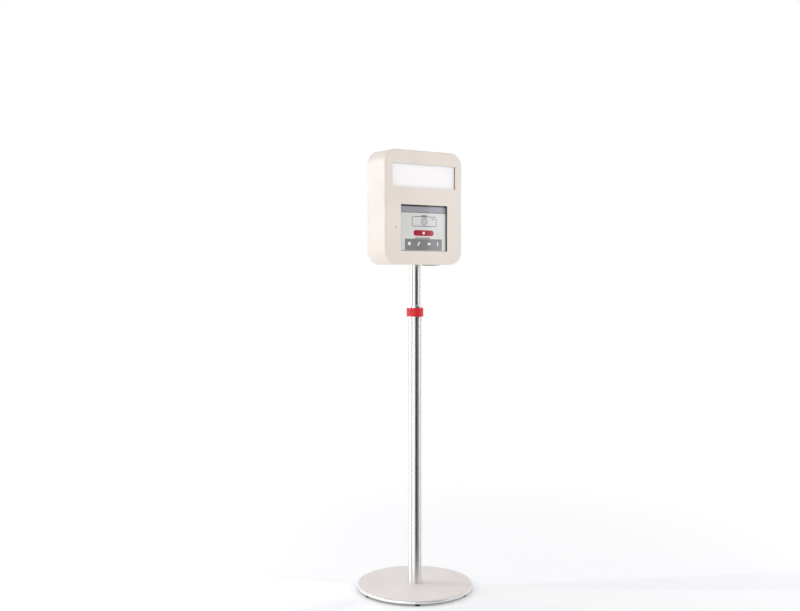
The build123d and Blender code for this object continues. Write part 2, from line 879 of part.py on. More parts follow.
def make_power_inlet():
    """The appliance inlet under the head: a flange, a body and an open socket."""
    flange_z = head_bottom - inlet_flange
    half = inlet_width / 2 + inlet_ear
    flange = block(inlet_x - half, inlet_x + half, inlet_y - 12, inlet_y + 12, flange_z, head_bottom)
    flange = fillet(flange.edges().filter_by(Axis.Z), 5)
    body = flange + block(*inlet_body(), head_bottom, head_bottom + inlet_height)
    body -= block(*inlet_body(-inlet_wall), flange_z, head_bottom + inlet_height - 8)
    for side in (-1, 1):
        body -= rod_z(1.8, flange_z, head_bottom, inlet_x + side * (half - 5), inlet_y)
    return body


def make_inlet_pins():
    """The inlet's three flat pins."""
    low, high = head_bottom + inlet_flange, head_bottom + inlet_height - 8
    places = ((-7, -2), (0, 2), (7, -2))
    return group(Pos(inlet_x + x, inlet_y + y) * block(-1, 1, -2, 2, low, high) for x, y in places)


def rocker_pivot():
    """Height of the rocker's pivot axis."""
    return head_bottom + 4


def make_switch_housing():
    """The rocker switch's housing, with its bezel under the head."""
    low = head_bottom - switch_flange
    body = block(*switch_body(2), low, head_bottom) + block(*switch_body(), head_bottom, head_bottom + 18)
    half = rocker_length / 2 + slip_gap
    reach = rocker_radius + slip_gap
    top = rocker_pivot() + reach
    return body - block(switch_x - half, switch_x + half, inlet_y - reach, inlet_y + reach, low, top)


def make_switch_rocker():
    """The rocker, tipped to its off side, on short pivots."""
    half = rocker_length / 2
    rocker = rod_x(rocker_radius, -half, half)
    rocker -= block(-half, half, -rocker_radius, rocker_radius, 2.5, rocker_radius)
    for side in (-1, 1):
        wedge = block(-half, half, -2 * rocker_radius, 2 * rocker_radius, -2 * rocker_radius, 0)
        rocker -= Pos(0, 0, -4.8) * Rot(side * 9, 0, 0) * wedge
    return Pos(switch_x, inlet_y, rocker_pivot()) * Rot(rocker_tilt, 0, 0) * rocker


# ---- Internal leads ---------------------------------------------------------------------------


def supply_lead_points():
    """Route from the inlet up to the power supply."""
    low, high = head_bottom + inlet_height, head_bottom + device_base
    rise = (high - low) / 3
    shift = chassis_back + supply_depth / 2
    return [
        (inlet_x, inlet_y, low),
        (inlet_x, inlet_y, low + rise),
        (inlet_x, shift, low + 2 * rise),
        (inlet_x, shift, high),
    ]


def light_lead_points():
    """Route from the power supply's top to the back of the light box."""
    x = supply_x + supply_width * 0.28
    top = head_bottom + device_base + supply_height
    y_from = chassis_back + supply_depth / 2
    step = (y_from - light_box_back) * 0.44
    high = top + 20 + step
    return [(x, y_from, top), (x, y_from, top + 20), (x, y_from - step, high), (x, light_box_back, high)]


def display_lead_points():
    """Route from the computer's side to the driver board."""
    x = pc_x + pc_width / 2
    z = driver_middle()
    y_from = chassis_back + pc_depth * 0.44
    back = driver_front + board_thickness
    step = (y_from - back) / 2
    far = x + 2 * step
    return [(x, y_from, z), (x + step, y_from, z), (far, y_from - step, z), (far, back, z)]


def lead(points, diameter):
    """A round lead along straight runs joined by arcs as large as the runs allow."""
    vectors = [Vector(*point) for point in points]
    radii = []
    for before, corner, after in zip(vectors, vectors[1:], vectors[2:]):
        turn = (corner - before).get_angle(after - corner)
        shorter = min((corner - before).length, (after - corner).length)
        radii.append(0.45 * shorter / math.tan(math.radians(turn / 2)))
    print("lead", diameter, "radii", [round(radius, 1) for radius in radii])
    route = FilletPolyline(*vectors, radius=radii)
    section = Plane(origin=vectors[0], z_dir=vectors[1] - vectors[0]) * Circle(diameter / 2)
    tube = sweep(section, path=route)
    ideal = math.pi * diameter**2 / 4 * route.length
    print("volume share", round(tube.volume / ideal, 4))
    return tube


# ---- Rear door --------------------------------------------------------------------------------


def make_rear_door():
    """The rear door: a shallow tray with louvre slots and the lock's hole."""
    door = outline(0, shell_rear, rear_y)
    door = fillet(door.faces().sort_by(Axis.Y)[-1].edges(), rear_rounding)
    door = chamfer(door.faces().sort_by(Axis.Y)[0].edges(), seam_chamfer)
    door -= outline(shell_wall, shell_rear, door_inside)
    door -= rod_y(lock_radius + slip_gap, door_inside, rear_y, lock_x, head_middle)
    for base_z in (fan_z() - vent_pitch * (vent_slots - 1) / 2, head_bottom + 60):
        for step in range(vent_slots):
            z = base_z + step * vent_pitch
            door -= panel(vent_length, vent_width, vent_width / 2 - 0.1, door_inside, rear_y, z, fan_x)
    return door


def make_door_seal():
    """The foam strip inside the door's rim."""
    inset = shell_wall + slip_gap
    return outline(inset, shell_rear, door_inside) - outline(inset + seal_width, shell_rear, door_inside)


def knuckle(height, part):
    """One hinge knuckle blank: part 0 is the middle one, part -1 and 1 are the end ones."""
    middle = height + part * (knuckle_length + slip_gap)
    return rod_z(
        knuckle_radius, middle - knuckle_length / 2, middle + knuckle_length / 2, hinge_x, shell_rear
    )


def knuckle_tab(height, part, side):
    """The tab that joins a knuckle to its leaf; side 1 goes to the door, -1 to the shell."""
    middle = height + part * (knuckle_length + slip_gap)
    wall = head_width / 2
    ends = sorted((shell_rear, shell_rear + side * (knuckle_radius + 1)))
    return block(wall, hinge_x, *ends, middle - knuckle_length / 2, middle + knuckle_length / 2)


def hinge_bore(height, radius):
    """The hole for a hinge pin, right through a hinge."""
    reach = 1.5 * knuckle_length + slip_gap
    return rod_z(radius, height - reach - 1, height + reach + 1, hinge_x, shell_rear)


def make_shell_hinges():
    """Hinge leaves on the shell's side, each with the two end knuckles."""
    wall = head_width / 2
    reach = 1.5 * knuckle_length + slip_gap
    clear = knuckle_radius + 0.5
    leaves = []
    for height in hinge_heights:
        low, high = height - reach, height + reach
        leaf = block(wall, wall + leaf_thickness, shell_rear - leaf_width, shell_rear - clear, low, high)
        for part in (-1, 1):
            leaf += knuckle(height, part) + knuckle_tab(height, part, -1)
        leaves.append(leaf - hinge_bore(height, pin_radius + snug_gap))
    return group(leaves)


def make_door_hinges():
    """Hinge leaves on the door, round its edge to the rear face, each with the middle knuckle."""
    wall = head_width / 2
    reach = 1.5 * knuckle_length + slip_gap
    clear = knuckle_radius + 0.5
    outside = rear_y + leaf_thickness
    leaves = []
    for height in hinge_heights:
        low, high = height - reach, height + reach
        leaf = block(wall, wall + leaf_thickness, shell_rear + clear, outside, low, high)
        leaf += block(wall - leaf_width, wall + leaf_thickness, rear_y, outside, low, high)
        leaf += knuckle(height, 0) + knuckle_tab(height, 0, 1)
        leaves.append(leaf - hinge_bore(height, pin_radius + running_gap))
    return group(leaves)


def make_hinge_pins():
    """The hinge pins, pressed into the shell's knuckles."""
    reach = 1.5 * knuckle_length + slip_gap
    return group(rod_z(pin_radius, z - reach, z + reach, hinge_x, shell_rear) for z in hinge_heights)


cam_back = shell_rear - flange_thickness - 2
cam_front = cam_back - cam_thickness


def make_lock_barrel():
    """The lock's fixed barrel through the door, with its outer flange and inner nut."""
    barrel = rod_y(lock_radius, cam_back + 1, rear_y, lock_x, head_middle)
    barrel += rod_y(lock_radius + 3, rear_y, rear_y + 2, lock_x, head_middle)
    barrel += rod_y(lock_radius + 4, door_inside - 4, door_inside, lock_x, head_middle)
    return barrel - rod_y(plug_radius + running_gap, cam_back, rear_y + 2, lock_x, head_middle)


def make_lock_plug():
    """The turning plug with its key slot and the stub that carries the cam."""
    plug = rod_y(plug_radius, cam_back, rear_y + 2.3, lock_x, head_middle)
    plug += rod_y(plug_radius / 2, cam_front - 2, cam_back, lock_x, head_middle)
    slot_z = (head_middle - 3.5, head_middle + 3.5)
    return plug - block(lock_x - 0.7, lock_x + 0.7, rear_y - 4, rear_y + 2.3, *slot_z)


def make_lock_cam():
    """The cam arm, pointing up when unlocked."""
    reach = cam_length - cam_width / 2
    cam = rod_y(cam_width / 2, cam_front, cam_back, lock_x, head_middle)
    half = cam_width / 2
    cam += block(lock_x - half, lock_x + half, cam_front, cam_back, head_middle, head_middle + reach)
    cam += rod_y(half, cam_front, cam_back, lock_x, head_middle + reach)
    return cam - rod_y(plug_radius / 2 + snug_gap, cam_front, cam_back, lock_x, head_middle)


makers = {
    "base_plate": make_base_plate,
    "base_cover": make_base_cover,
    "edge_trim": make_edge_trim,
    "foot_pads": make_foot_pads,
    "foot_screws": make_foot_screws,
    "mast_spigot": make_mast_spigot,
    "mast_bolt": make_mast_bolt,
    "mast_washer": make_mast_washer,
    "outer_tube": make_outer_tube,
    "guide_bush": make_guide_bush,
    "collar_ferrule": make_collar_ferrule,
    "collet": make_collet,
    "locking_collar": make_locking_collar,
    "nose_ring": make_nose_ring,
    "inner_tube": make_inner_tube,
    "foot_bush": make_foot_bush,
    "front_cover": make_front_cover,
    "head_shell": make_head_shell,
    "case_screws": make_case_screws,
    "window_gasket": make_window_gasket,
    "light_diffuser": make_light_diffuser,
    "light_box": make_light_box,
    "led_board": make_led_board,
    "leds": make_leds,
    "screen_bezel": make_screen_bezel,
    "touch_glass": make_touch_glass,
    "lcd_panel": make_lcd_panel,
    "display_tray": make_display_tray,
    "driver_board": make_driver_board,
    "camera_lens": make_camera_lens,
    "camera_module": make_camera_module,
    "camera_bracket": make_camera_bracket,
    "chassis_plate": make_chassis_plate,
    "standoffs": make_standoffs,
    "mast_socket": make_mast_socket,
    "thrust_pad": make_thrust_pad,
    "socket_bolts": make_socket_bolts,
    "clamp_screws": make_clamp_screws,
    "mini_pc": make_mini_pc,
    "power_supply": make_power_supply,
    "fan_frame": make_fan_frame,
    "fan_rotor": make_fan_rotor,
    "speaker_frame": make_speaker_frame,
    "speaker_cone": make_speaker_cone,
    "power_inlet": make_power_inlet,
    "inlet_pins": make_inlet_pins,
    "switch_housing": make_switch_housing,
    "switch_rocker": make_switch_rocker,
    "supply_lead": lambda: lead(supply_lead_points(), 7.0),
    "light_lead": lambda: lead(light_lead_points(), 3.5),
    "display_lead": lambda: lead(display_lead_points(), 3.5),
    "rear_door": make_rear_door,
    "door_seal": make_door_seal,
    "shell_hinges": make_shell_hinges,
    "door_hinges": make_door_hinges,
    "hinge_pins": make_hinge_pins,
    "lock_barrel": make_lock_barrel,
    "lock_plug": make_lock_plug,
    "lock_cam": make_lock_cam,
}

os.makedirs("parts", exist_ok=True)
for name, maker in makers.items():
    export_step(maker(), f"parts/{name}.step")
print(len(makers), "parts")
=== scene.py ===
import json
import math

import bmesh
import bpy
from mathutils import Matrix, Vector


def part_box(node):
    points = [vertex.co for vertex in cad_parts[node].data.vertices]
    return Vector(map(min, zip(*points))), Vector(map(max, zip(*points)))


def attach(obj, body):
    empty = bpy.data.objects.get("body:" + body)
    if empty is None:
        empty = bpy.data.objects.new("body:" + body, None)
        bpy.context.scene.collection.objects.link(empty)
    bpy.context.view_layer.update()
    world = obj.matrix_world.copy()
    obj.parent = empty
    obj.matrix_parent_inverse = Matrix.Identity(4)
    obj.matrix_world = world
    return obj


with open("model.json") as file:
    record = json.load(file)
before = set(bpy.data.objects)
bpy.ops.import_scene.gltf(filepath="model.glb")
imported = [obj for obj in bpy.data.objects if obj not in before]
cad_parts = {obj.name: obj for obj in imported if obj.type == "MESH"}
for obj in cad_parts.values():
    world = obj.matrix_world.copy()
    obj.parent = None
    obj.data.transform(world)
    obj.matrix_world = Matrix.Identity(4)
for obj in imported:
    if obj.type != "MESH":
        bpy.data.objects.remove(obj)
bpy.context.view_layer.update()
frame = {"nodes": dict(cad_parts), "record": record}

bl_info = {
    "name": "Photo Booth Kiosk",
    "version": (1, 0, 0),
    "blender": (4, 5, 0),
    "location": "3D View > Sidebar > Kiosk",
    "description": "Finishes, screen page, small fittings and studio for a free-standing photo booth",
    "category": "Object",
}

MM = 0.001
DARK = (0.0, 0.0, 0.0)
WHITE = (1.0, 1.0, 1.0)


def linear(red, green, blue):
    """A display colour, in parts of 255, as linear light."""
    parts = [part / 255 for part in (red, green, blue)]
    return tuple(p / 12.92 if p <= 0.04045 else ((p + 0.055) / 1.055) ** 2.4 for p in parts)


def shaded(colour, share):
    """A colour made darker, or lighter where share is over 1."""
    return tuple(min(part * share, 1.0) for part in colour)


# ---- What a user would change -----------------------------------------------------------------


def colour_choice(name, about, default):
    return bpy.props.FloatVectorProperty(
        name=name, description=about, default=default, subtype="COLOR", size=3, min=0.0, max=1.0
    )


def length_choice(name, about, millimetres):
    return bpy.props.FloatProperty(
        name=name, description=about, default=millimetres * MM, min=0.0, unit="LENGTH", subtype="DISTANCE"
    )


def angle_choice(name, about, degrees):
    return bpy.props.FloatProperty(
        name=name, description=about, default=math.radians(degrees), unit="ROTATION", subtype="ANGLE"
    )


class KioskColours(bpy.types.PropertyGroup):
    """Colours of the kiosk's finishes and of its screen page"""

    case: colour_choice("Case", "Powder coat of the head", linear(231, 221, 210))
    base: colour_choice("Base", "Powder coat of the base disc", linear(234, 227, 222))
    collar: colour_choice("Collar", "Moulded twist-lock collar", linear(216, 10, 32))
    steel: colour_choice("Steel", "Drawn steel of the mast", (0.86, 0.85, 0.84))
    page: colour_choice("Page", "Background of the screen page", linear(216, 215, 213))
    bar: colour_choice("Bars", "Title bar of the screen page", linear(160, 161, 166))
    toolbar: colour_choice("Toolbar", "Toolbar of the screen page", linear(133, 131, 132))
    mark: colour_choice("Pictogram", "Camera outline on the page", linear(118, 122, 128))
    button: colour_choice("Button", "Start button on the page", linear(172, 12, 42))


class KioskSizes(bpy.types.PropertyGroup):
    """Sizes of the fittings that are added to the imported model"""

    layer: length_choice("Page layer", "Thickness of one layer of the screen page", 0.12)
    line: length_choice("Outline", "Width of the pictogram's lines", 2.6)
    hood_height: length_choice("Hood height", "Height of a louvre hood", 5.4)
    hood_depth: length_choice("Hood depth", "How far a louvre hood stands out", 2.6)
    screw_radius: length_choice("Hinge screw", "Radius of a hinge screw's head", 2.6)
    screw_rise: length_choice("Screw rise", "Height of a hinge screw's head", 1.3)
    fin_depth: length_choice("Fin depth", "Depth of the power supply's cooling fins", 5.0)


class KioskStage(bpy.types.PropertyGroup):
    """Camera and light around the kiosk"""

    bearing: angle_choice("Bearing", "Camera's bearing round the mast", 34.62)
    heading: angle_choice("Heading", "Turn of the camera away from the mast", 0.87)
    dip: angle_choice("Dip", "How far the camera looks down", 1.65)
    distance: length_choice("Distance", "From the mast to the camera", 3753.14)
    height: length_choice("Height", "Of the camera above the floor", 1189.48)
    lens: bpy.props.FloatProperty(
        name="Lens", description="Focal length of the camera", default=44.47, min=1.0, unit="CAMERA"
    )
    sky: bpy.props.FloatProperty(
        name="Surround", description="Brightness of the white room", default=0.80, min=0.0
    )
    key: bpy.props.FloatProperty(
        name="Key light", description="Power of the large soft light", default=24.0, min=0.0, unit="POWER"
    )


# ---- Shader maths -----------------------------------------------------------------------------


class Value:
    """One number that changes over a surface, which can be used in sums."""

    def __init__(self, finish, socket):
        self.finish = finish
        self.socket = socket

    def maths(self, operation, first, second):
        return self.finish.node("ShaderNodeMath", {"operation": operation}, {0: first, 1: second})

    def __add__(self, other):
        return self.maths("ADD", self, other)

    def __radd__(self, other):
        return self.maths("ADD", other, self)

    def __sub__(self, other):
        return self.maths("SUBTRACT", self, other)

    def __mul__(self, other):
        return self.maths("MULTIPLY", self, other)

    def __rmul__(self, other):
        return self.maths("MULTIPLY", other, self)


class Graph:
    """A node tree and the one way to add a node to it."""

    def __init__(self, owner):
        owner.use_nodes = True
        self.tree = owner.node_tree
        self.tree.nodes.clear()

    def node(self, kind, settings, inputs, output=0):
        """Adds a node: its settings first, then the values or links of its sockets."""
        added = self.tree.nodes.new(kind)
        for setting, value in settings.items():
            setattr(added, setting, value)
        for key, value in inputs.items():
            if isinstance(value, Value):
                self.tree.links.new(value.socket, added.inputs[key])
            elif isinstance(value, tuple) and added.inputs[key].type == "RGBA":
                added.inputs[key].default_value = (*value[:3], 1.0)
            else:
                added.inputs[key].default_value = value
        return Value(self, added.outputs[output]) if added.outputs else None


class Finish(Graph):
    """A material and the few nodes that its recipes are built from."""

    def __init__(self, name):
        self.material = bpy.data.materials.new(name)
        super().__init__(self.material)
        self.place = self.node("ShaderNodeTexCoord", {}, {}, "Object")

    def mapped(self, scale=WHITE, location=DARK):
        """The surface's place, stretched and shifted."""
        return self.node(
            "ShaderNodeMapping", {}, {"Vector": self.place, "Scale": scale, "Location": location}
        )

    def noise(self, scale, detail=2.0, stretch=WHITE, rough=0.5):
        """Soft noise; scale is its number of swells in a metre."""
        inputs = {"Vector": self.mapped(stretch), "Scale": scale, "Detail": detail, "Roughness": rough}
        return self.node("ShaderNodeTexNoise", {}, inputs, "Fac")

    def ramp(self, value, low, high):
        """0 below low, 1 above high, and smooth between them."""
        inputs = {"Value": value, "From Min": low, "From Max": high}
        return self.node("ShaderNodeMapRange", {"interpolation_type": "SMOOTHSTEP"}, inputs)

    def blend(self, first, second, share):
        """A colour between two others."""
        return self.node("ShaderNodeMix", {"data_type": "RGBA"}, {0: share, 6: first, 7: second}, 2)

    def axis(self, name):
        """One coordinate of the surface's place, in metres."""
        return self.node("ShaderNodeSeparateXYZ", {}, {0: self.place}, name)

    def reach(self):
        """Distance from the mast's axis, in metres."""
        flat = self.mapped((1.0, 1.0, 0.0))
        return self.node("ShaderNodeVectorMath", {"operation": "LENGTH"}, {0: flat}, "Value")

    def bump(self, height, strength, depth):
        inputs = {"Height": height, "Strength": strength, "Distance": depth}
        return self.node("ShaderNodeBump", {}, inputs)

    def surface(self, **sockets):
        """The shader itself, with its sockets by name, and the material's output."""
        named = {key.replace("_", " ").title(): value for key, value in sockets.items()}
        shader = self.node("ShaderNodeBsdfPrincipled", {}, named)
        self.node("ShaderNodeOutputMaterial", {}, {"Surface": shader})
        return self.material


# ---- Finishes ---------------------------------------------------------------------------------


def painted(name, colour, gloss=0.42, peel=700.0):
    """Powder coat: a faint orange peel, broad tone shifts and sparse rubbed marks."""
    f = Finish(name)
    cloud = f.noise(5.0, 3.0)
    fine = f.noise(peel, 2.0)
    rub = f.ramp(f.noise(31.0, 7.0, (1.0, 1.0, 2.4)), 0.60, 0.74)
    tone = f.blend(shaded(colour, 1.015), shaded(colour, 0.965), f.ramp(cloud, 0.3, 0.7))
    tone = f.blend(tone, shaded(colour, 0.90), rub * 0.22)
    rough = gloss + (cloud - 0.5) * 0.12 + rub * 0.10 + (fine - 0.5) * 0.05
    return f.surface(base_color=tone, roughness=rough, normal=f.bump(fine, 0.10, 0.0004))


def base_coat(name, colour):
    """Powder coat of the base disc, with shoe scuffs and dust towards its rim."""
    f = Finish(name)
    cloud = f.noise(7.0, 3.0)
    fine = f.noise(1100.0, 2.0)
    near_rim = f.ramp(f.reach(), 0.11, 0.216)
    scuff = f.ramp(f.noise(46.0, 8.0, (1.0, 0.35, 1.0)), 0.56, 0.68) * near_rim
    tone = f.blend(shaded(colour, 1.02), shaded(colour, 0.955), f.ramp(cloud, 0.3, 0.7))
    tone = f.blend(tone, shaded(colour, 0.80), scuff * 0.28)
    rough = 0.50 + (cloud - 0.5) * 0.14 + scuff * 0.15
    return f.surface(base_color=tone, roughness=rough, normal=f.bump(fine, 0.14, 0.0004))


def drawn(name, colour, roughness=0.13, along=(1.0, 1.0, 0.004), lines=900.0, smear=0.0):
    """Drawn or brushed metal: fine lines one way, hazy patches and light handling marks.

    smear, from 0 to 1, stretches its reflections along the vertical axis.
    """
    f = Finish(name)
    line = f.noise(lines, 3.0, along)
    haze = f.noise(9.0, 4.0)
    marks = f.ramp(f.noise(60.0, 6.0, (1.0, 1.0, 0.5)), 0.60, 0.72)
    tone = f.blend(colour, shaded(colour, 0.90), f.ramp(line, 0.38, 0.66) * 0.4)
    tone = f.blend(tone, shaded(colour, 0.86), marks * 0.10)
    rough = roughness + (line - 0.5) * 0.06 + (haze - 0.5) * 0.05 + marks * 0.03
    normal = f.bump(line, 0.02, 0.0001)
    return f.surface(
        base_color=tone, metallic=1.0, roughness=rough, normal=normal,
        anisotropic=smear, anisotropic_rotation=0.25,
    )


def plated(name, colour, roughness=0.32, grain=260.0):
    """Zinc-plated sheet and hardware: small spangles and a hazy sheen."""
    f = Finish(name)
    spangle = f.node(
        "ShaderNodeTexVoronoi", {"feature": "F1"}, {"Vector": f.place, "Scale": grain}, "Distance"
    )
    haze = f.noise(14.0, 4.0)
    tone = f.blend(colour, shaded(colour, 0.80), f.ramp(spangle, 0.1, 0.7) * 0.6)
    tone = f.blend(tone, shaded(colour, 0.88), haze)
    rough = roughness + (spangle - 0.4) * 0.16 + (haze - 0.5) * 0.14
    normal = f.bump(spangle, 0.04, 0.0003)
    return f.surface(base_color=tone, metallic=1.0, roughness=rough, normal=normal)


def cast(name, colour):
    """Sand-cast metal: a coarse skin with darker pits."""
    f = Finish(name)
    skin = f.noise(420.0, 6.0, WHITE, 0.6)
    patch = f.noise(24.0, 3.0)
    tone = f.blend(colour, shaded(colour, 0.66), f.ramp(skin, 0.42, 0.7))
    rough = 0.52 + (patch - 0.5) * 0.2
    return f.surface(base_color=tone, metallic=0.85, roughness=rough, normal=f.bump(skin, 0.4, 0.0005))


def moulded(name, colour, roughness=0.42, grain=900.0, coat=0.0, depth=0.0003):
    """Moulded plastic: an even fine texture, flow shading and small rubbed spots."""
    f = Finish(name)
    fine = f.noise(grain, 3.0)
    flow = f.noise(12.0, 3.0, (1.0, 1.0, 0.6))
    rub = f.ramp(f.noise(75.0, 6.0), 0.60, 0.74)
    tone = f.blend(shaded(colour, 1.06), shaded(colour, 0.90), flow)
    tone = f.blend(tone, shaded(colour, 1.25), rub * 0.12)
    rough = roughness + (flow - 0.5) * 0.12 + (fine - 0.5) * 0.10 + rub * 0.06
    normal = f.bump(fine, 0.12, depth)
    return f.surface(base_color=tone, roughness=rough, coat_weight=coat, normal=normal)


def rubbery(name, colour, pores=520.0):
    """Rubber or foam: matt, with pores and a dusty bloom."""
    f = Finish(name)
    pore = f.node("ShaderNodeTexVoronoi", {"feature": "F1"}, {"Vector": f.place, "Scale": pores}, "Distance")
    bloom = f.noise(28.0, 5.0)
    tone = f.blend(colour, shaded(colour, 1.7), f.ramp(bloom, 0.45, 0.8) * 0.35)
    rough = 0.82 + (bloom - 0.5) * 0.14
    return f.surface(base_color=tone, roughness=rough, normal=f.bump(pore, 0.30, 0.0006))


def opal(name, colour, glow):
    """The lit diffuser: a nearly even glow that falls off a little to its ends."""
    f = Finish(name)
    across = f.axis("X")
    fall = f.ramp(across * across, 0.006, 0.022)
    mottle = f.noise(90.0, 2.0)
    light = f.blend(colour, shaded(colour, 0.93), fall * 0.7 + (mottle - 0.5) * 0.06)
    rough = 0.38 + (mottle - 0.5) * 0.10
    return f.surface(
        base_color=f.blend(DARK, light, 0.55), roughness=rough, emission_color=light,
        emission_strength=glow, normal=f.bump(mottle, 0.03, 0.0003),
    )


def phosphor(name):
    """The yellow face of a white LED."""
    f = Finish(name)
    grit = f.noise(2400.0, 3.0)
    tone = f.blend(linear(250, 226, 120), linear(226, 180, 60), grit)
    return f.surface(
        base_color=tone, roughness=0.45 + (grit - 0.5) * 0.2, emission_color=tone, emission_strength=0.8,
        normal=f.bump(grit, 0.2, 0.0002),
    )


def shown(name, colour, cold=0.0, glow=0.76):
    """A patch of the lit page under the glass: backlight that isn't quite even, and smears on top."""
    f = Finish(name)
    leftwards = f.ramp(f.axis("X") * -1.0, 0.055, 0.105)
    uneven = f.noise(11.0, 2.0)
    smear = f.ramp(f.noise(26.0, 6.0, (1.0, 1.0, 0.4)), 0.50, 0.72)
    light = f.blend(shaded(colour, 1.02), shaded(colour, 0.95), uneven)
    light = f.blend(light, linear(196, 204, 208), leftwards * cold)
    rough = 0.10 + smear * 0.22
    return f.surface(
        base_color=f.blend(DARK, light, uneven * 0.2), roughness=rough, coat_weight=0.25,
        emission_color=light, emission_strength=glow, normal=f.bump(smear, 0.02, 0.0001),
    )


def glassy(name, colour):
    """Dark cover glass with finger smears."""
    f = Finish(name)
    smear = f.ramp(f.noise(22.0, 7.0, (1.0, 1.0, 0.35)), 0.46, 0.70)
    speck = f.noise(1300.0, 2.0)
    tone = f.blend(colour, shaded(colour, 2.2), smear * 0.3)
    rough = 0.05 + smear * 0.20 + (speck - 0.5) * 0.03
    return f.surface(base_color=tone, roughness=rough, coat_weight=0.6, normal=f.bump(smear, 0.02, 0.0001))


def circuit(name, mask, copper):
    """A circuit board: solder mask with raised tracks showing through it."""
    f = Finish(name)
    brick = {"Vector": f.mapped(), "Scale": 90.0, "Mortar Size": 0.05}
    track = f.node("ShaderNodeTexBrick", {}, brick, "Fac")
    patch = f.noise(36.0, 4.0)
    tone = f.blend(mask, copper, f.ramp(patch, 0.55, 0.6) * 0.35)
    tone = f.blend(tone, shaded(mask, 1.5), track)
    rough = 0.34 + (patch - 0.5) * 0.18
    return f.surface(base_color=tone, roughness=rough, coat_weight=0.2, normal=f.bump(track, 0.3, 0.0002))


def fibrous(name, colour):
    """Pressed paper pulp, as of a loudspeaker's cone."""
    f = Finish(name)
    fibre = f.noise(520.0, 8.0, (1.0, 3.0, 1.0), 0.7)
    tone = f.blend(colour, shaded(colour, 1.8), f.ramp(fibre, 0.4, 0.75))
    return f.surface(
        base_color=tone, roughness=0.86 + (fibre - 0.5) * 0.2, normal=f.bump(fibre, 0.5, 0.0004)
    )


def reflector(name, colour):
    """Glossy white film inside the light box."""
    f = Finish(name)
    film = f.noise(45.0, 4.0)
    tone = f.blend(colour, shaded(colour, 0.92), film)
    return f.surface(base_color=tone, roughness=0.28 + (film - 0.5) * 0.2, normal=f.bump(film, 0.06, 0.0003))


def slot_finishes(colours):
    """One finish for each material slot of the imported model."""
    zinc = (0.62, 0.63, 0.64)
    return {
        "base_steel": plated("base_steel", (0.45, 0.45, 0.46), 0.42, 180.0),
        "base_paint": base_coat("base_paint", tuple(colours.base)),
        "trim_aluminium": drawn("trim_aluminium", (0.92, 0.91, 0.90), 0.24, (1.0, 1.0, 6.0), 160.0),
        "foot_rubber": rubbery("foot_rubber", (0.022, 0.022, 0.023)),
        "screw_steel": plated("screw_steel", zinc, 0.30, 420.0),
        "mast_steel": drawn("mast_steel", tuple(colours.steel), 0.27, smear=0.95),
        "nylon": moulded("nylon", (0.74, 0.73, 0.69), 0.46, 600.0),
        "collar_red": moulded("collar_red", tuple(colours.collar), 0.30, 1400.0, 0.10, 0.0002),
        "case_ivory": painted("case_ivory", tuple(colours.case)),
        "gasket_grey": rubbery("gasket_grey", (0.10, 0.10, 0.105), 900.0),
        "diffuser_opal": opal("diffuser_opal", linear(252, 249, 250), 0.42),
        "reflector_white": reflector("reflector_white", (0.86, 0.86, 0.85)),
        "led_phosphor": phosphor("led_phosphor"),
        "board_white": circuit("board_white", (0.80, 0.80, 0.78), (0.70, 0.66, 0.58)),
        "bezel_black": moulded("bezel_black", (0.012, 0.012, 0.013), 0.44),
        "screen_glass": glassy("screen_glass", (0.010, 0.011, 0.013)),
        "panel_metal": plated("panel_metal", (0.55, 0.55, 0.55), 0.36, 300.0),
        "sheet_zinc": plated("sheet_zinc", zinc, 0.36, 120.0),
        "board_green": circuit("board_green", (0.012, 0.105, 0.045), (0.16, 0.22, 0.06)),
        "lens_black": glassy("lens_black", (0.014, 0.014, 0.020)),
        "cast_hub": cast("cast_hub", (0.50, 0.50, 0.50)),
        "pc_case": moulded("pc_case", (0.030, 0.031, 0.034), 0.38, 1200.0),
        "supply_case": plated("supply_case", (0.58, 0.59, 0.58), 0.34, 90.0),
        "fan_black": moulded("fan_black", (0.020, 0.020, 0.021), 0.40),
        "cone_paper": fibrous("cone_paper", (0.060, 0.054, 0.046)),
        "inlet_black": moulded("inlet_black", (0.018, 0.018, 0.018), 0.36),
        "pin_brass": drawn("pin_brass", (0.74, 0.56, 0.26), 0.22, (1.0, 1.0, 0.2), 700.0),
        "lead_black": rubbery("lead_black", (0.020, 0.020, 0.020), 1500.0),
        "seal_foam": rubbery("seal_foam", (0.050, 0.050, 0.052), 420.0),
        "hinge_steel": drawn("hinge_steel", (0.66, 0.66, 0.66), 0.28, (1.0, 1.0, 0.08), 500.0),
        "lock_chrome": drawn("lock_chrome", (0.80, 0.80, 0.81), 0.10, (1.0, 0.2, 1.0), 400.0),
    }


def page_finishes(colours):
    """The screen page's own finishes."""
    return {
        "page": shown("page_ground", tuple(colours.page), 0.30, 0.84),
        "bar": shown("page_bar", tuple(colours.bar)),
        "bar_edge": shown("page_bar_edge", shaded(tuple(colours.bar), 0.55)),
        "toolbar": shown("page_toolbar", tuple(colours.toolbar)),
        "mark": shown("page_mark", tuple(colours.mark)),
        "button": shown("page_button", tuple(colours.button)),
        "ink": shown("page_ink", linear(60, 50, 54)),
        "icon": shown("page_icon", linear(250, 250, 250)),
    }


finishes = {}


def coat(piece, finish, slot, body):
    """Gives a new piece its finish and the body that it moves with; its slot argument is not used."""
    piece.data.materials.clear()
    piece.data.materials.append(finishes[finish])
    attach(piece, body)


# ---- Modelling --------------------------------------------------------------------------------

CREASE = math.radians(35.0)
ALONG_Y = (0.0, 1.0, 0.0)


def select_only(piece):
    bpy.ops.object.select_all(action="DESELECT")
    piece.select_set(True)
    bpy.context.view_layer.objects.active = piece


def named(name):
    """Names the piece just added and puts its place into its mesh."""
    piece = bpy.context.object
    piece.name = piece.data.name = name
    bpy.ops.object.transform_apply(location=True, rotation=True, scale=True)
    return piece


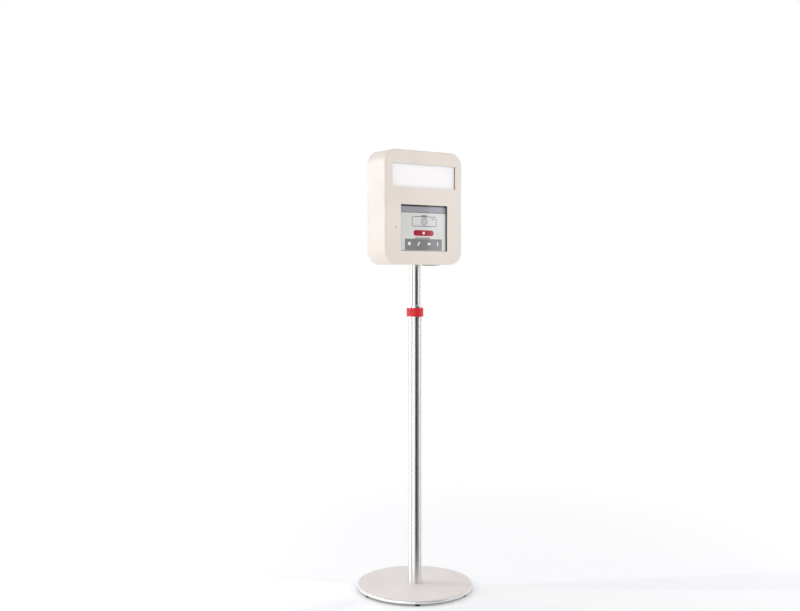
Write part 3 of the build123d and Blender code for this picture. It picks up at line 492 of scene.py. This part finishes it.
def start_block(name, low, high):
    """A block between two corners, ready to be shaped."""
    bpy.ops.object.select_all(action="DESELECT")
    low, high = Vector(low), Vector(high)
    bpy.ops.mesh.primitive_cube_add(size=1.0, location=(low + high) / 2, scale=high - low)
    return named(name)


def start_round(name, radius, middle, depth, sides=48):
    """A round disc or rod, lying along Y."""
    bpy.ops.object.select_all(action="DESELECT")
    turn = (math.pi / 2, 0.0, 0.0)
    bpy.ops.mesh.primitive_cylinder_add(
        vertices=sides, radius=radius, depth=depth, location=middle, rotation=turn
    )
    return named(name)


def edit(piece, test, kind="FACE"):
    """Opens a piece in edit mode with only the faces or edges that pass the test selected."""
    select_only(piece)
    bpy.ops.object.mode_set(mode="EDIT")
    bpy.ops.mesh.select_mode(type=kind)
    bpy.ops.mesh.select_all(action="DESELECT")
    mesh = bmesh.from_edit_mesh(piece.data)
    parts = mesh.faces if kind == "FACE" else mesh.edges
    found = [part for part in parts if test(part)]
    if not found:
        raise RuntimeError(f"{piece.name}: nothing to shape was found")
    for part in found:
        part.select_set(True)
    bmesh.update_edit_mesh(piece.data)


def done():
    bpy.ops.object.mode_set(mode="OBJECT")


def facing(direction):
    """A test for the faces that look one way."""
    way = Vector(direction)
    return lambda face: face.normal.dot(way) > 0.9


def along(direction):
    """A test for the edges that run one way."""
    way = Vector(direction)
    return lambda edge: abs((edge.verts[0].co - edge.verts[1].co).normalized().dot(way)) > 0.99


def soften(piece, width, segments=3):
    """Rounds the sharp edges with an applied bevel and smooths the shading."""
    select_only(piece)
    bevel = piece.modifiers.new("edges", "BEVEL")
    bevel.width = width
    bevel.segments = segments
    bevel.limit_method = "ANGLE"
    bevel.angle_limit = CREASE
    bpy.ops.object.modifier_apply(modifier=bevel.name)
    bpy.ops.object.shade_smooth_by_angle(angle=CREASE)


def hollow(piece, direction, wall, depth):
    """Sinks a pocket into the side of a piece that looks one way."""
    edit(piece, facing(direction))
    bpy.ops.mesh.inset(thickness=wall, depth=0.0)
    bpy.ops.mesh.extrude_region_move(
        TRANSFORM_OT_translate={"value": tuple(-depth * part for part in direction)}
    )
    done()


def copied(model, name, matrix):
    """A copy with a mesh of its own, moved in that mesh."""
    piece = model.copy()
    piece.data = model.data.copy()
    piece.name = piece.data.name = name
    piece.data.transform(matrix)
    bpy.context.scene.collection.objects.link(piece)
    return piece


def spread(model, places, finish, slot, body):
    """Copies a model to each place, finishes the copies, and removes the model."""
    made = [copied(model, f"{model.name}_{count + 1}", matrix) for count, matrix in enumerate(places)]
    bpy.data.objects.remove(model)
    for piece in made:
        coat(piece, finish, slot, body)


# ---- Screen page ------------------------------------------------------------------------------

# Millimetres. A span, along X, and a rise, along Z, count from the middle of the glass, and those of the
# pictogram's parts from its own middle. A level counts layers in front of the glass.
PAGE_SPAN, PAGE_FOOT = (-97.0, 106.0), -84.0
BAR_FOOT, BAR_HEAD, BAR_EDGE = 57.0, 82.0, 3.0
# The page's patches: name, span, rise, level, finish and corner radius.
PATCHES = (
    ("page_ground", PAGE_SPAN, (PAGE_FOOT, BAR_FOOT), 1, "page", 0.8),
    ("page_title_bar", PAGE_SPAN, (BAR_FOOT, BAR_HEAD), 1, "bar", 0.6),
    ("page_bar_foot", PAGE_SPAN, (BAR_FOOT, BAR_FOOT + BAR_EDGE), 2, "bar_edge", 0.3),
    ("page_bar_head", PAGE_SPAN, (BAR_HEAD - BAR_EDGE, BAR_HEAD), 2, "bar_edge", 0.3),
    ("page_toolbar", (-80.0, 90.0), (-82.6, -39.8), 2, "toolbar", 2.0),
    ("page_caption", (-35.0, 35.0), (-38.2, -35.4), 3, "ink", 0.8),
)
MARK_LEVEL, ICON_LEVEL = 3, 4
# Shares of a layer: how thick a patch is and how far its edges are rounded.
PATCH, ROUNDED = 0.8, 0.2
BUTTON_SPAN, BUTTON_RISE = (-41.0, 51.0), (-28.5, -7.0)
# Corner radii as shares of the button's half height and of a sign's smaller side.
BUTTON_CORNER, ICON_CORNER = 0.96, 0.46
MARK_MIDDLE, MARK_SIZE, MARK_CORNER = (7.5, 25.5), (112.0, 38.0), 7.0
LENS_RADIUS, IRIS_RADIUS = 14.5, 8.0
HUMP_HALF, HUMP_RISE, HUMP_CORNER = 13.0, 4.4, 1.6
FLASH_SPAN, FLASH_RISE, FLASH_CORNER = (34.0, 45.0), (7.0, 11.0), 1.4
DOT_RADIUS = 5.2
ICON_RISE = -58.0
DISC_PLACE, DISC_RADIUS = -60.0, 6.4
# The other toolbar signs: name, place, width, height and tilt in degrees.
ICONS = (
    ("page_icon_pen", -17.0, 5.0, 17.0, 32.0),
    ("page_icon_card", 30.0, 14.0, 8.0, 0.0),
    ("page_icon_bar", 70.0, 4.4, 16.0, 0.0),
)


def page_point(x, z, level, layer):
    """A point of the page, from the middle of the glass, a number of layers in front of it."""
    low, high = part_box("touch_glass")
    return Vector(((low.x + high.x) / 2 + x * MM, low.y - level * layer, (low.z + high.z) / 2 + z * MM))


def page_plate(name, span, rise, level, finish, layer, corner):
    """A flat patch of the page with rounded corners."""
    front = page_point(span[0], rise[0], level, layer)
    back = page_point(span[1], rise[1], level - PATCH, layer)
    piece = start_block(name, front, back)
    edit(piece, along(ALONG_Y), "EDGE")
    bpy.ops.mesh.bevel(offset=corner * MM, segments=8, affect="EDGES")
    done()
    soften(piece, layer * ROUNDED, 1)
    coat(piece, finish, "screen_glass", "head")


def page_dot(name, x, z, radius, layer):
    """A round white patch on top of the page."""
    middle = page_point(x, z, ICON_LEVEL - PATCH / 2, layer)
    dot = start_round(name, radius * MM, middle, layer * PATCH)
    soften(dot, layer * ROUNDED, 1)
    coat(dot, "icon", "screen_glass", "head")


class KIOSK_OT_page(bpy.types.Operator):
    """Lay the page, its title bar and its toolbar over the touch glass"""

    bl_idname = "kiosk.page"
    bl_label = "Screen Page"

    def execute(self, context):
        layer = context.scene.kiosk_sizes.layer
        for name, span, rise, level, finish, corner in PATCHES:
            page_plate(name, span, rise, level, finish, layer, corner)
        return {"FINISHED"}


class KIOSK_OT_pictogram(bpy.types.Operator):
    """Draw a plain camera outline on the page"""

    bl_idname = "kiosk.pictogram"
    bl_label = "Camera Pictogram"

    def execute(self, context):
        sizes = context.scene.kiosk_sizes
        x, z = MARK_MIDDLE
        half_width, half_height = MARK_SIZE[0] / 2, MARK_SIZE[1] / 2
        top = z + half_height
        self.outline((x - half_width, x + half_width), (z - half_height, top), sizes)
        self.ring("page_camera_lens", x, z, LENS_RADIUS, sizes)
        self.ring("page_camera_iris", x, z, IRIS_RADIUS, sizes)
        hump = (x - HUMP_HALF, x + HUMP_HALF)
        self.patch("page_camera_hump", hump, (top, top + HUMP_RISE), HUMP_CORNER, sizes)
        flash = [x + side for side in FLASH_SPAN]
        rise = [z + side for side in FLASH_RISE]
        self.patch("page_camera_flash", flash, rise, FLASH_CORNER, sizes)
        return {"FINISHED"}

    def patch(self, name, span, rise, corner, sizes):
        page_plate(name, span, rise, MARK_LEVEL, "mark", sizes.layer, corner)

    def cut_middle(self, piece, wall):
        """Opens the piece right through, leaving an outline."""
        edit(piece, lambda face: abs(face.normal.y) > 0.9)
        bpy.ops.mesh.inset(thickness=wall, depth=0.0)
        bpy.ops.mesh.bridge_edge_loops()
        done()

    def outline(self, span, rise, sizes):
        front = page_point(span[0], rise[0], MARK_LEVEL, sizes.layer)
        back = page_point(span[1], rise[1], MARK_LEVEL - PATCH, sizes.layer)
        piece = start_block("page_camera_body", front, back)
        edit(piece, along(ALONG_Y), "EDGE")
        bpy.ops.mesh.bevel(offset=MARK_CORNER * MM, segments=10, affect="EDGES")
        done()
        self.cut_middle(piece, sizes.line)
        bpy.ops.object.shade_smooth_by_angle(angle=CREASE)
        coat(piece, "mark", "screen_glass", "head")

    def ring(self, name, x, z, radius, sizes):
        middle = page_point(x, z, MARK_LEVEL - PATCH / 2, sizes.layer)
        piece = start_round(name, radius * MM, middle, sizes.layer * PATCH, 64)
        self.cut_middle(piece, sizes.line)
        bpy.ops.object.shade_smooth_by_angle(angle=CREASE)
        coat(piece, "mark", "screen_glass", "head")


class KIOSK_OT_button(bpy.types.Operator):
    """Add the round-ended start button and the shutter dot on it"""

    bl_idname = "kiosk.button"
    bl_label = "Start Button"

    def execute(self, context):
        layer = context.scene.kiosk_sizes.layer
        half = (BUTTON_RISE[1] - BUTTON_RISE[0]) / 2
        corner = half * BUTTON_CORNER
        page_plate("page_button", BUTTON_SPAN, BUTTON_RISE, MARK_LEVEL, "button", layer, corner)
        page_dot("page_button_dot", sum(BUTTON_SPAN) / 2, sum(BUTTON_RISE) / 2, DOT_RADIUS, layer)
        return {"FINISHED"}


class KIOSK_OT_icons(bpy.types.Operator):
    """Add the four plain white signs on the toolbar"""

    bl_idname = "kiosk.icons"
    bl_label = "Toolbar Icons"

    def execute(self, context):
        layer = context.scene.kiosk_sizes.layer
        page_dot("page_icon_disc", DISC_PLACE, ICON_RISE, DISC_RADIUS, layer)
        for icon in ICONS:
            self.tilted(*icon, layer)
        return {"FINISHED"}

    def tilted(self, name, x, width, height, degrees, layer):
        piece = start_block(
            name,
            page_point(x - width / 2, ICON_RISE - height / 2, ICON_LEVEL, layer),
            page_point(x + width / 2, ICON_RISE + height / 2, ICON_LEVEL - PATCH, layer),
        )
        edit(piece, along(ALONG_Y), "EDGE")
        bpy.ops.mesh.bevel(offset=min(width, height) * ICON_CORNER * MM, segments=8, affect="EDGES")
        done()
        middle = page_point(x, ICON_RISE, ICON_LEVEL - PATCH / 2, layer)
        turn = Matrix.Rotation(math.radians(degrees), 4, "Y")
        piece.data.transform(Matrix.Translation(middle) @ turn @ Matrix.Translation(-middle))
        soften(piece, layer * ROUNDED, 1)
        coat(piece, "icon", "screen_glass", "head")


# ---- Fittings ---------------------------------------------------------------------------------

# Millimetres, where it isn't a count.
VENT_COUNT, VENT_PITCH, VENT_LENGTH, VENT_WIDTH = 6, 9.0, 60.0, 4.0
VENT_LOW_START, HOOD_OVERLAP = 60.0, 2.5
HINGE_REACH, HINGE_SCREW_STEP = 30.3, 20.0
LEAF, LEAF_MIDDLE = 1.5, 9.0
# The computer's sockets: name, start along the case, width and height.
PC_PORTS = (
    ("pc_port_video", 12.0, 15.0, 6.0), ("pc_port_usb_a", 32.0, 13.5, 7.0),
    ("pc_port_usb_b", 50.0, 13.5, 7.0), ("pc_port_net", 68.0, 16.0, 13.5),
)
PC_PORT_FOOT, PC_BUTTON_INSET = 7.0, 14.0
FIN_COUNT, FIN_HALF, FIN_MARGIN, FIN_FOOT, FIN_HEAD = 10, 0.9, 10.0, 34.0, 12.0
CLAMP_COUNT, CLAMP_MARGIN = 5, 26.0
TERMINAL_MARGIN, TERMINAL_RISE, TERMINAL_DEPTH = 18.0, (8.0, 24.0), 7.0
# The driver board's chips: name, place across and up the board, width, height and thickness.
BOARD_CHIPS = (
    ("board_chip_main", 44.0, 26.0, 22.0, 22.0, 1.4), ("board_chip_store", 76.0, 30.0, 14.0, 10.0, 1.1),
    ("board_chip_power", 18.0, 14.0, 9.0, 9.0, 1.2), ("board_socket_lead", 96.0, 40.0, 16.0, 6.0, 3.2),
)


class KIOSK_OT_louvres(bpy.types.Operator):
    """Press a hood over each vent slot of the rear door"""

    bl_idname = "kiosk.louvres"
    bl_label = "Louvre Hoods"

    def execute(self, context):
        sizes = context.scene.kiosk_sizes
        fan_low, fan_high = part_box("fan_frame")
        door_low, door_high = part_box("rear_door")
        x = (fan_low.x + fan_high.x) / 2
        half = (VENT_LENGTH / 2 + HOOD_OVERLAP) * MM
        low = Vector((x - half, door_high.y, -VENT_WIDTH / 2 * MM))
        high = Vector((x + half, door_high.y + sizes.hood_depth, sizes.hood_height - VENT_WIDTH / 2 * MM))
        hood = start_block("louvre_hood", low, high)
        edit(hood, lambda e: all(v.co.y > door_high.y + 0.5 * sizes.hood_depth for v in e.verts)
             and not all(v.co.z < 0 for v in e.verts), "EDGE")
        bpy.ops.mesh.bevel(offset=sizes.hood_depth * 0.7, segments=5, affect="EDGES")
        done()
        hollow(hood, (0.0, 0.0, -1.0), 0.5 * MM, sizes.hood_height * 0.6)
        select_only(hood)
        bpy.ops.object.shade_smooth_by_angle(angle=math.radians(40.0))
        fan_z = (fan_low.z + fan_high.z) / 2
        upper = fan_z - VENT_PITCH * (VENT_COUNT - 1) / 2 * MM
        lower = door_low.z + VENT_LOW_START * MM
        rises = [start + step * VENT_PITCH * MM for start in (lower, upper) for step in range(VENT_COUNT)]
        places = [Matrix.Translation((0.0, 0.0, rise)) for rise in rises]
        spread(hood, places, "case_ivory", "case_ivory", "door")
        return {"FINISHED"}


class KIOSK_OT_hinge_screws(bpy.types.Operator):
    """Put socket screws through both leaves of each hinge"""

    bl_idname = "kiosk.hinge_screws"
    bl_label = "Hinge Screws"

    def execute(self, context):
        sizes = context.scene.kiosk_sizes
        self.leaf_screws("door_hinges", "door", Matrix.Rotation(math.pi, 4, "Z"), sizes)
        self.leaf_screws("shell_hinges", "head", Matrix.Rotation(math.pi / 2, 4, "Z"), sizes)
        return {"FINISHED"}

    def screw(self, name, sizes):
        """A domed head that looks to -Y, with a hexagonal socket."""
        head = start_round(name, sizes.screw_radius, (0.0, -sizes.screw_rise / 2, 0.0), sizes.screw_rise, 36)
        edit(head, lambda e: all(v.co.y < -0.9 * sizes.screw_rise for v in e.verts), "EDGE")
        bpy.ops.mesh.bevel(offset=sizes.screw_rise * 0.6, segments=4, affect="EDGES")
        done()
        socket_middle = (0.0, -sizes.screw_rise, 0.0)
        socket = start_round("screw_socket", sizes.screw_radius * 0.45, socket_middle, sizes.screw_rise, 6)
        select_only(head)
        cut = head.modifiers.new("socket", "BOOLEAN")
        cut.operation = "DIFFERENCE"
        cut.solver = "EXACT"
        cut.object = socket
        bpy.ops.object.modifier_apply(modifier=cut.name)
        bpy.data.objects.remove(socket)
        bpy.ops.object.shade_smooth_by_angle(angle=math.radians(30.0))
        return head

    def leaf_screws(self, node, body, turn, sizes):
        low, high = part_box(node)
        places = []
        for hinge in (low.z + HINGE_REACH * MM, high.z - HINGE_REACH * MM):
            for step in (-1, 0, 1):
                z = hinge + step * HINGE_SCREW_STEP * MM
                places.append(Matrix.Translation(self.seat(node, low, z)) @ turn)
        spread(self.screw(f"{body}_hinge_screw", sizes), places, "screw_steel", "screw_steel", body)

    def seat(self, node, low, z):
        """The middle of a screw's seat on the outside of a leaf."""
        door_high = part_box("rear_door")[1]
        if node == "door_hinges":
            return Vector((low.x + LEAF_MIDDLE * MM, door_high.y + LEAF * MM, z))
        return Vector((door_high.x + LEAF * MM, low.y + LEAF_MIDDLE * MM, z))


class KIOSK_OT_computer(bpy.types.Operator):
    """Add the sockets, the power button and its light to the small computer"""

    bl_idname = "kiosk.computer"
    bl_label = "Computer Sockets"

    def execute(self, context):
        low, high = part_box("mini_pc")
        base = low.z + PC_PORT_FOOT * MM
        for name, start, width, height in PC_PORTS:
            corner = (low.x + start * MM, high.y, base)
            far = (low.x + (start + width) * MM, high.y + 0.9 * MM, base + height * MM)
            port = start_block(name, corner, far)
            hollow(port, ALONG_Y, 1.0 * MM, 0.7 * MM)
            soften(port, 0.15 * MM, 2)
            coat(port, "panel_metal", "panel_metal", "head")
        button_middle = Vector((high.x - PC_BUTTON_INSET * MM, high.y + 0.5 * MM, base + 6.0 * MM))
        button = start_round("pc_power_button", 4.5 * MM, button_middle, 1.0 * MM)
        hollow(button, ALONG_Y, 1.0 * MM, 0.4 * MM)
        soften(button, 0.15 * MM, 2)
        coat(button, "pc_case", "pc_case", "head")
        lamp = start_round("pc_lamp", 1.1 * MM, button_middle + Vector((0.0, 0.2 * MM, 0.0)), 0.8 * MM, 24)
        soften(lamp, 0.2 * MM, 2)
        coat(lamp, "led_phosphor", "led_phosphor", "head")
        return {"FINISHED"}


class KIOSK_OT_supply(bpy.types.Operator):
    """Add the cooling fins and the terminal block to the power supply"""

    bl_idname = "kiosk.supply"
    bl_label = "Supply Fins"

    def execute(self, context):
        sizes = context.scene.kiosk_sizes
        low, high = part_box("power_supply")
        fin = start_block(
            "supply_fin",
            (-FIN_HALF * MM, high.y, low.z + FIN_FOOT * MM),
            (FIN_HALF * MM, high.y + sizes.fin_depth, high.z - FIN_HEAD * MM),
        )
        soften(fin, 0.5 * MM, 3)
        fins = self.row(low.x, high.x, FIN_MARGIN, FIN_COUNT)
        spread(fin, fins, "supply_case", "supply_case", "head")
        block = start_block(
            "supply_terminals",
            (low.x + TERMINAL_MARGIN * MM, high.y, low.z + TERMINAL_RISE[0] * MM),
            (high.x - TERMINAL_MARGIN * MM, high.y + TERMINAL_DEPTH * MM, low.z + TERMINAL_RISE[1] * MM),
        )
        soften(block, 0.8 * MM, 3)
        coat(block, "inlet_black", "inlet_black", "head")
        middle = (0.0, high.y + (TERMINAL_DEPTH + 0.3) * MM, low.z + sum(TERMINAL_RISE) / 2 * MM)
        clamp = start_round("supply_clamp", 3.0 * MM, middle, 0.8 * MM, 32)
        hollow(clamp, ALONG_Y, 1.4 * MM, 0.4 * MM)
        soften(clamp, 0.15 * MM, 2)
        clamps = self.row(low.x, high.x, CLAMP_MARGIN, CLAMP_COUNT)
        spread(clamp, clamps, "pin_brass", "pin_brass", "head")
        return {"FINISHED"}

    def row(self, low, high, margin, count):
        """Evenly spaced moves along X, with a margin at both ends."""
        step = (high - low - 2 * margin * MM) / (count - 1)
        return [Matrix.Translation((low + margin * MM + step * i, 0.0, 0.0)) for i in range(count)]


class KIOSK_OT_board(bpy.types.Operator):
    """Solder chips and a connector onto the display's driver board"""

    bl_idname = "kiosk.board"
    bl_label = "Board Chips"

    def execute(self, context):
        low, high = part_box("driver_board")
        for name, x, z, width, height, rise in BOARD_CHIPS:
            corner = Vector((low.x + x * MM, high.y, low.z + z * MM))
            chip = start_block(name, corner, corner + Vector((width * MM, rise * MM, height * MM)))
            edit(chip, facing(ALONG_Y))
            bpy.ops.mesh.inset(thickness=0.8 * MM, depth=-0.15 * MM)
            done()
            soften(chip, 0.15 * MM, 2)
            coat(chip, "inlet_black", "inlet_black", "head")
        return {"FINISHED"}


class KIOSK_OT_finishes(bpy.types.Operator):
    """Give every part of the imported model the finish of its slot"""

    bl_idname = "kiosk.finishes"
    bl_label = "Finishes"

    def execute(self, context):
        colours = context.scene.kiosk_colours
        finishes.update(slot_finishes(colours))
        finishes.update(page_finishes(colours))
        for part in frame["record"]["subparts"]:
            node = frame["nodes"][part["node"]]
            material = finishes[part["material_slot"]]
            if not node.material_slots:
                node.data.materials.append(material)
            for slot in node.material_slots:
                slot.material = material
        return {"FINISHED"}


# ---- Stage ------------------------------------------------------------------------------------

# Cards round the mast that only reflections show: name, turn from the camera and the angle taken up, both
# in degrees, and brightness.
CARDS = (
    ("card_dark_edge", 8.0, 12.0, 0.14), ("card_dark", 27.0, 26.0, 0.02), ("card_grey", 55.0, 30.0, 0.20),
    ("card_right", 94.0, 9.0, 0.05), ("card_left", -52.0, 10.0, 0.04), ("card_bright", -27.0, 24.0, 1.6),
    ("card_edge", -84.0, 30.0, 2.4),
)
CARD_NEAR, CARD_REACH, CARD_HEIGHT = 0.26, 2.6, 3.4
# Lights: name, place, size and share of the key light's power.
LIGHTS = (("key_light", (-2.1, 2.1, 2.0), 1.1, 1.0), ("fill_light", (2.6, -3.0, 2.2), 2.0, 0.80))
LIGHT_COLOUR, LIGHT_AIM = (0.82, 0.86, 1.0), (0.0, 0.0, 0.9)
# How bright the room looks in reflections.
SHINE = 0.93
# The floor glows a little, and more between these two distances, so that it meets the white room unseen.
FLOOR_LIFT, FLOOR_REACH = ((0.14, 0.14, 0.14), (0.30, 0.30, 0.30)), (0.6, 3.5)
FLOOR_SIZE, FLOOR_GREYS = 160.0, ((0.90, 0.90, 0.90), (0.88, 0.88, 0.88))


class KIOSK_OT_stage(bpy.types.Operator):
    """Set up the floor, the white room, the lights and the camera"""

    bl_idname = "kiosk.stage"
    bl_label = "Stage"

    def execute(self, context):
        stage = context.scene.kiosk_stage
        self.floor()
        self.room(stage)
        for name, place, size, share in LIGHTS:
            self.soft_light(name, place, size, stage.key * share)
        for name, degrees, spread_degrees, glow in CARDS:
            self.card(name, stage.bearing - math.radians(degrees), math.radians(spread_degrees / 2), glow)
        self.camera(stage)
        context.scene.view_settings.view_transform = "Standard"
        return {"FINISHED"}

    def floor(self):
        bpy.ops.object.select_all(action="DESELECT")
        bpy.ops.mesh.primitive_plane_add(size=FLOOR_SIZE)
        floor = named("floor")
        f = Finish("floor")
        worn = f.noise(3.0, 4.0)
        tone = f.blend(*FLOOR_GREYS, worn)
        rough = 0.75 + (worn - 0.5) * 0.1
        lift = f.blend(*FLOOR_LIFT, f.ramp(f.reach(), *FLOOR_REACH))
        paint = f.surface(base_color=tone, roughness=rough, emission_color=lift, emission_strength=1.0)
        floor.data.materials.append(paint)

    def room(self, stage):
        """A white room: full white to the camera, less bright in reflections and as a light."""
        world = bpy.data.worlds.new("room")
        bpy.context.scene.world = world
        graph = Graph(world)
        ray = graph.node("ShaderNodeLightPath", {}, {}, "Is Camera Ray")
        shine = graph.node("ShaderNodeLightPath", {}, {}, "Is Glossy Ray")
        strength = stage.sky + (1.0 - stage.sky) * ray + (SHINE - stage.sky) * shine
        inputs = {"Color": WHITE, "Strength": strength}
        background = graph.node("ShaderNodeBackground", {}, inputs)
        graph.node("ShaderNodeOutputWorld", {}, {"Surface": background})

    def soft_light(self, name, place, size, power):
        light = bpy.data.lights.new(name, "AREA")
        light.shape = "DISK"
        light.size = size
        light.energy = power
        light.color = LIGHT_COLOUR
        lamp = bpy.data.objects.new(name, light)
        lamp.location = place
        aim = Vector(LIGHT_AIM) - Vector(place)
        lamp.rotation_euler = aim.to_track_quat("-Z", "Y").to_euler()
        bpy.context.scene.collection.objects.link(lamp)

    def card(self, name, bearing, half, glow):
        """A card that only reflections show: a strip along the floor that turns up into a wall."""
        bpy.ops.object.select_all(action="DESELECT")
        bpy.ops.mesh.primitive_grid_add(x_subdivisions=1, y_subdivisions=2, size=1.0)
        card = named(name)
        rows = sorted({round(vertex.co.y, 4) for vertex in card.data.vertices})
        shape = dict(zip(rows, ((CARD_NEAR, 0.003), (CARD_REACH, 0.003), (CARD_REACH, CARD_HEIGHT))))
        for vertex in card.data.vertices:
            reach, rise = shape[round(vertex.co.y, 4)]
            turn = bearing + (half if vertex.co.x > 0 else -half)
            vertex.co = (-math.sin(turn) * reach, -math.cos(turn) * reach, rise)
        f = Finish(name)
        shade = f.blend((glow,) * 3, (glow * 1.1,) * 3, f.noise(300.0, 2.0))
        look = f.surface(base_color=DARK, roughness=1.0, emission_color=shade, emission_strength=1.0)
        card.data.materials.append(look)
        for ray in ("camera", "diffuse", "shadow", "transmission", "volume_scatter"):
            setattr(card, f"visible_{ray}", False)

    def camera(self, stage):
        data = bpy.data.cameras.new("camera")
        data.lens = stage.lens
        data.sensor_width = 36.0
        camera = bpy.data.objects.new("camera", data)
        camera.location = (
            -math.sin(stage.bearing) * stage.distance, -math.cos(stage.bearing) * stage.distance, stage.height
        )
        camera.rotation_euler = (math.pi / 2 - stage.dip, 0.0, -(stage.bearing - stage.heading))
        bpy.context.scene.collection.objects.link(camera)
        bpy.context.scene.camera = camera


steps = (
    KIOSK_OT_finishes, KIOSK_OT_page, KIOSK_OT_pictogram, KIOSK_OT_button, KIOSK_OT_icons, KIOSK_OT_louvres,
    KIOSK_OT_hinge_screws, KIOSK_OT_computer, KIOSK_OT_supply, KIOSK_OT_board, KIOSK_OT_stage,
)


class KIOSK_PT_panel(bpy.types.Panel):
    """The kiosk's steps and choices"""

    bl_idname = "KIOSK_PT_panel"
    bl_label = "Photo Booth Kiosk"
    bl_space_type = "VIEW_3D"
    bl_region_type = "UI"
    bl_category = "Kiosk"

    def draw(self, context):
        layout = self.layout
        for step in steps:
            layout.operator(step.bl_idname)
        for group in (context.scene.kiosk_colours, context.scene.kiosk_sizes, context.scene.kiosk_stage):
            box = layout.box()
            for choice in group.bl_rna.properties:
                if choice.identifier not in ("rna_type", "name"):
                    box.prop(group, choice.identifier)


choices = {"kiosk_colours": KioskColours, "kiosk_sizes": KioskSizes, "kiosk_stage": KioskStage}


def register():
    for kind in (*choices.values(), *steps, KIOSK_PT_panel):
        bpy.utils.register_class(kind)
    for name, kind in choices.items():
        setattr(bpy.types.Scene, name, bpy.props.PointerProperty(type=kind))


def unregister():
    for name in choices:
        delattr(bpy.types.Scene, name)
    for kind in (KIOSK_PT_panel, *reversed(steps), *reversed(choices.values())):
        bpy.utils.unregister_class(kind)


def main():
    register()
    for step in steps:
        group, name = step.bl_idname.split(".")
        getattr(getattr(bpy.ops, group), name)()


if __name__ == "__main__":
    main()
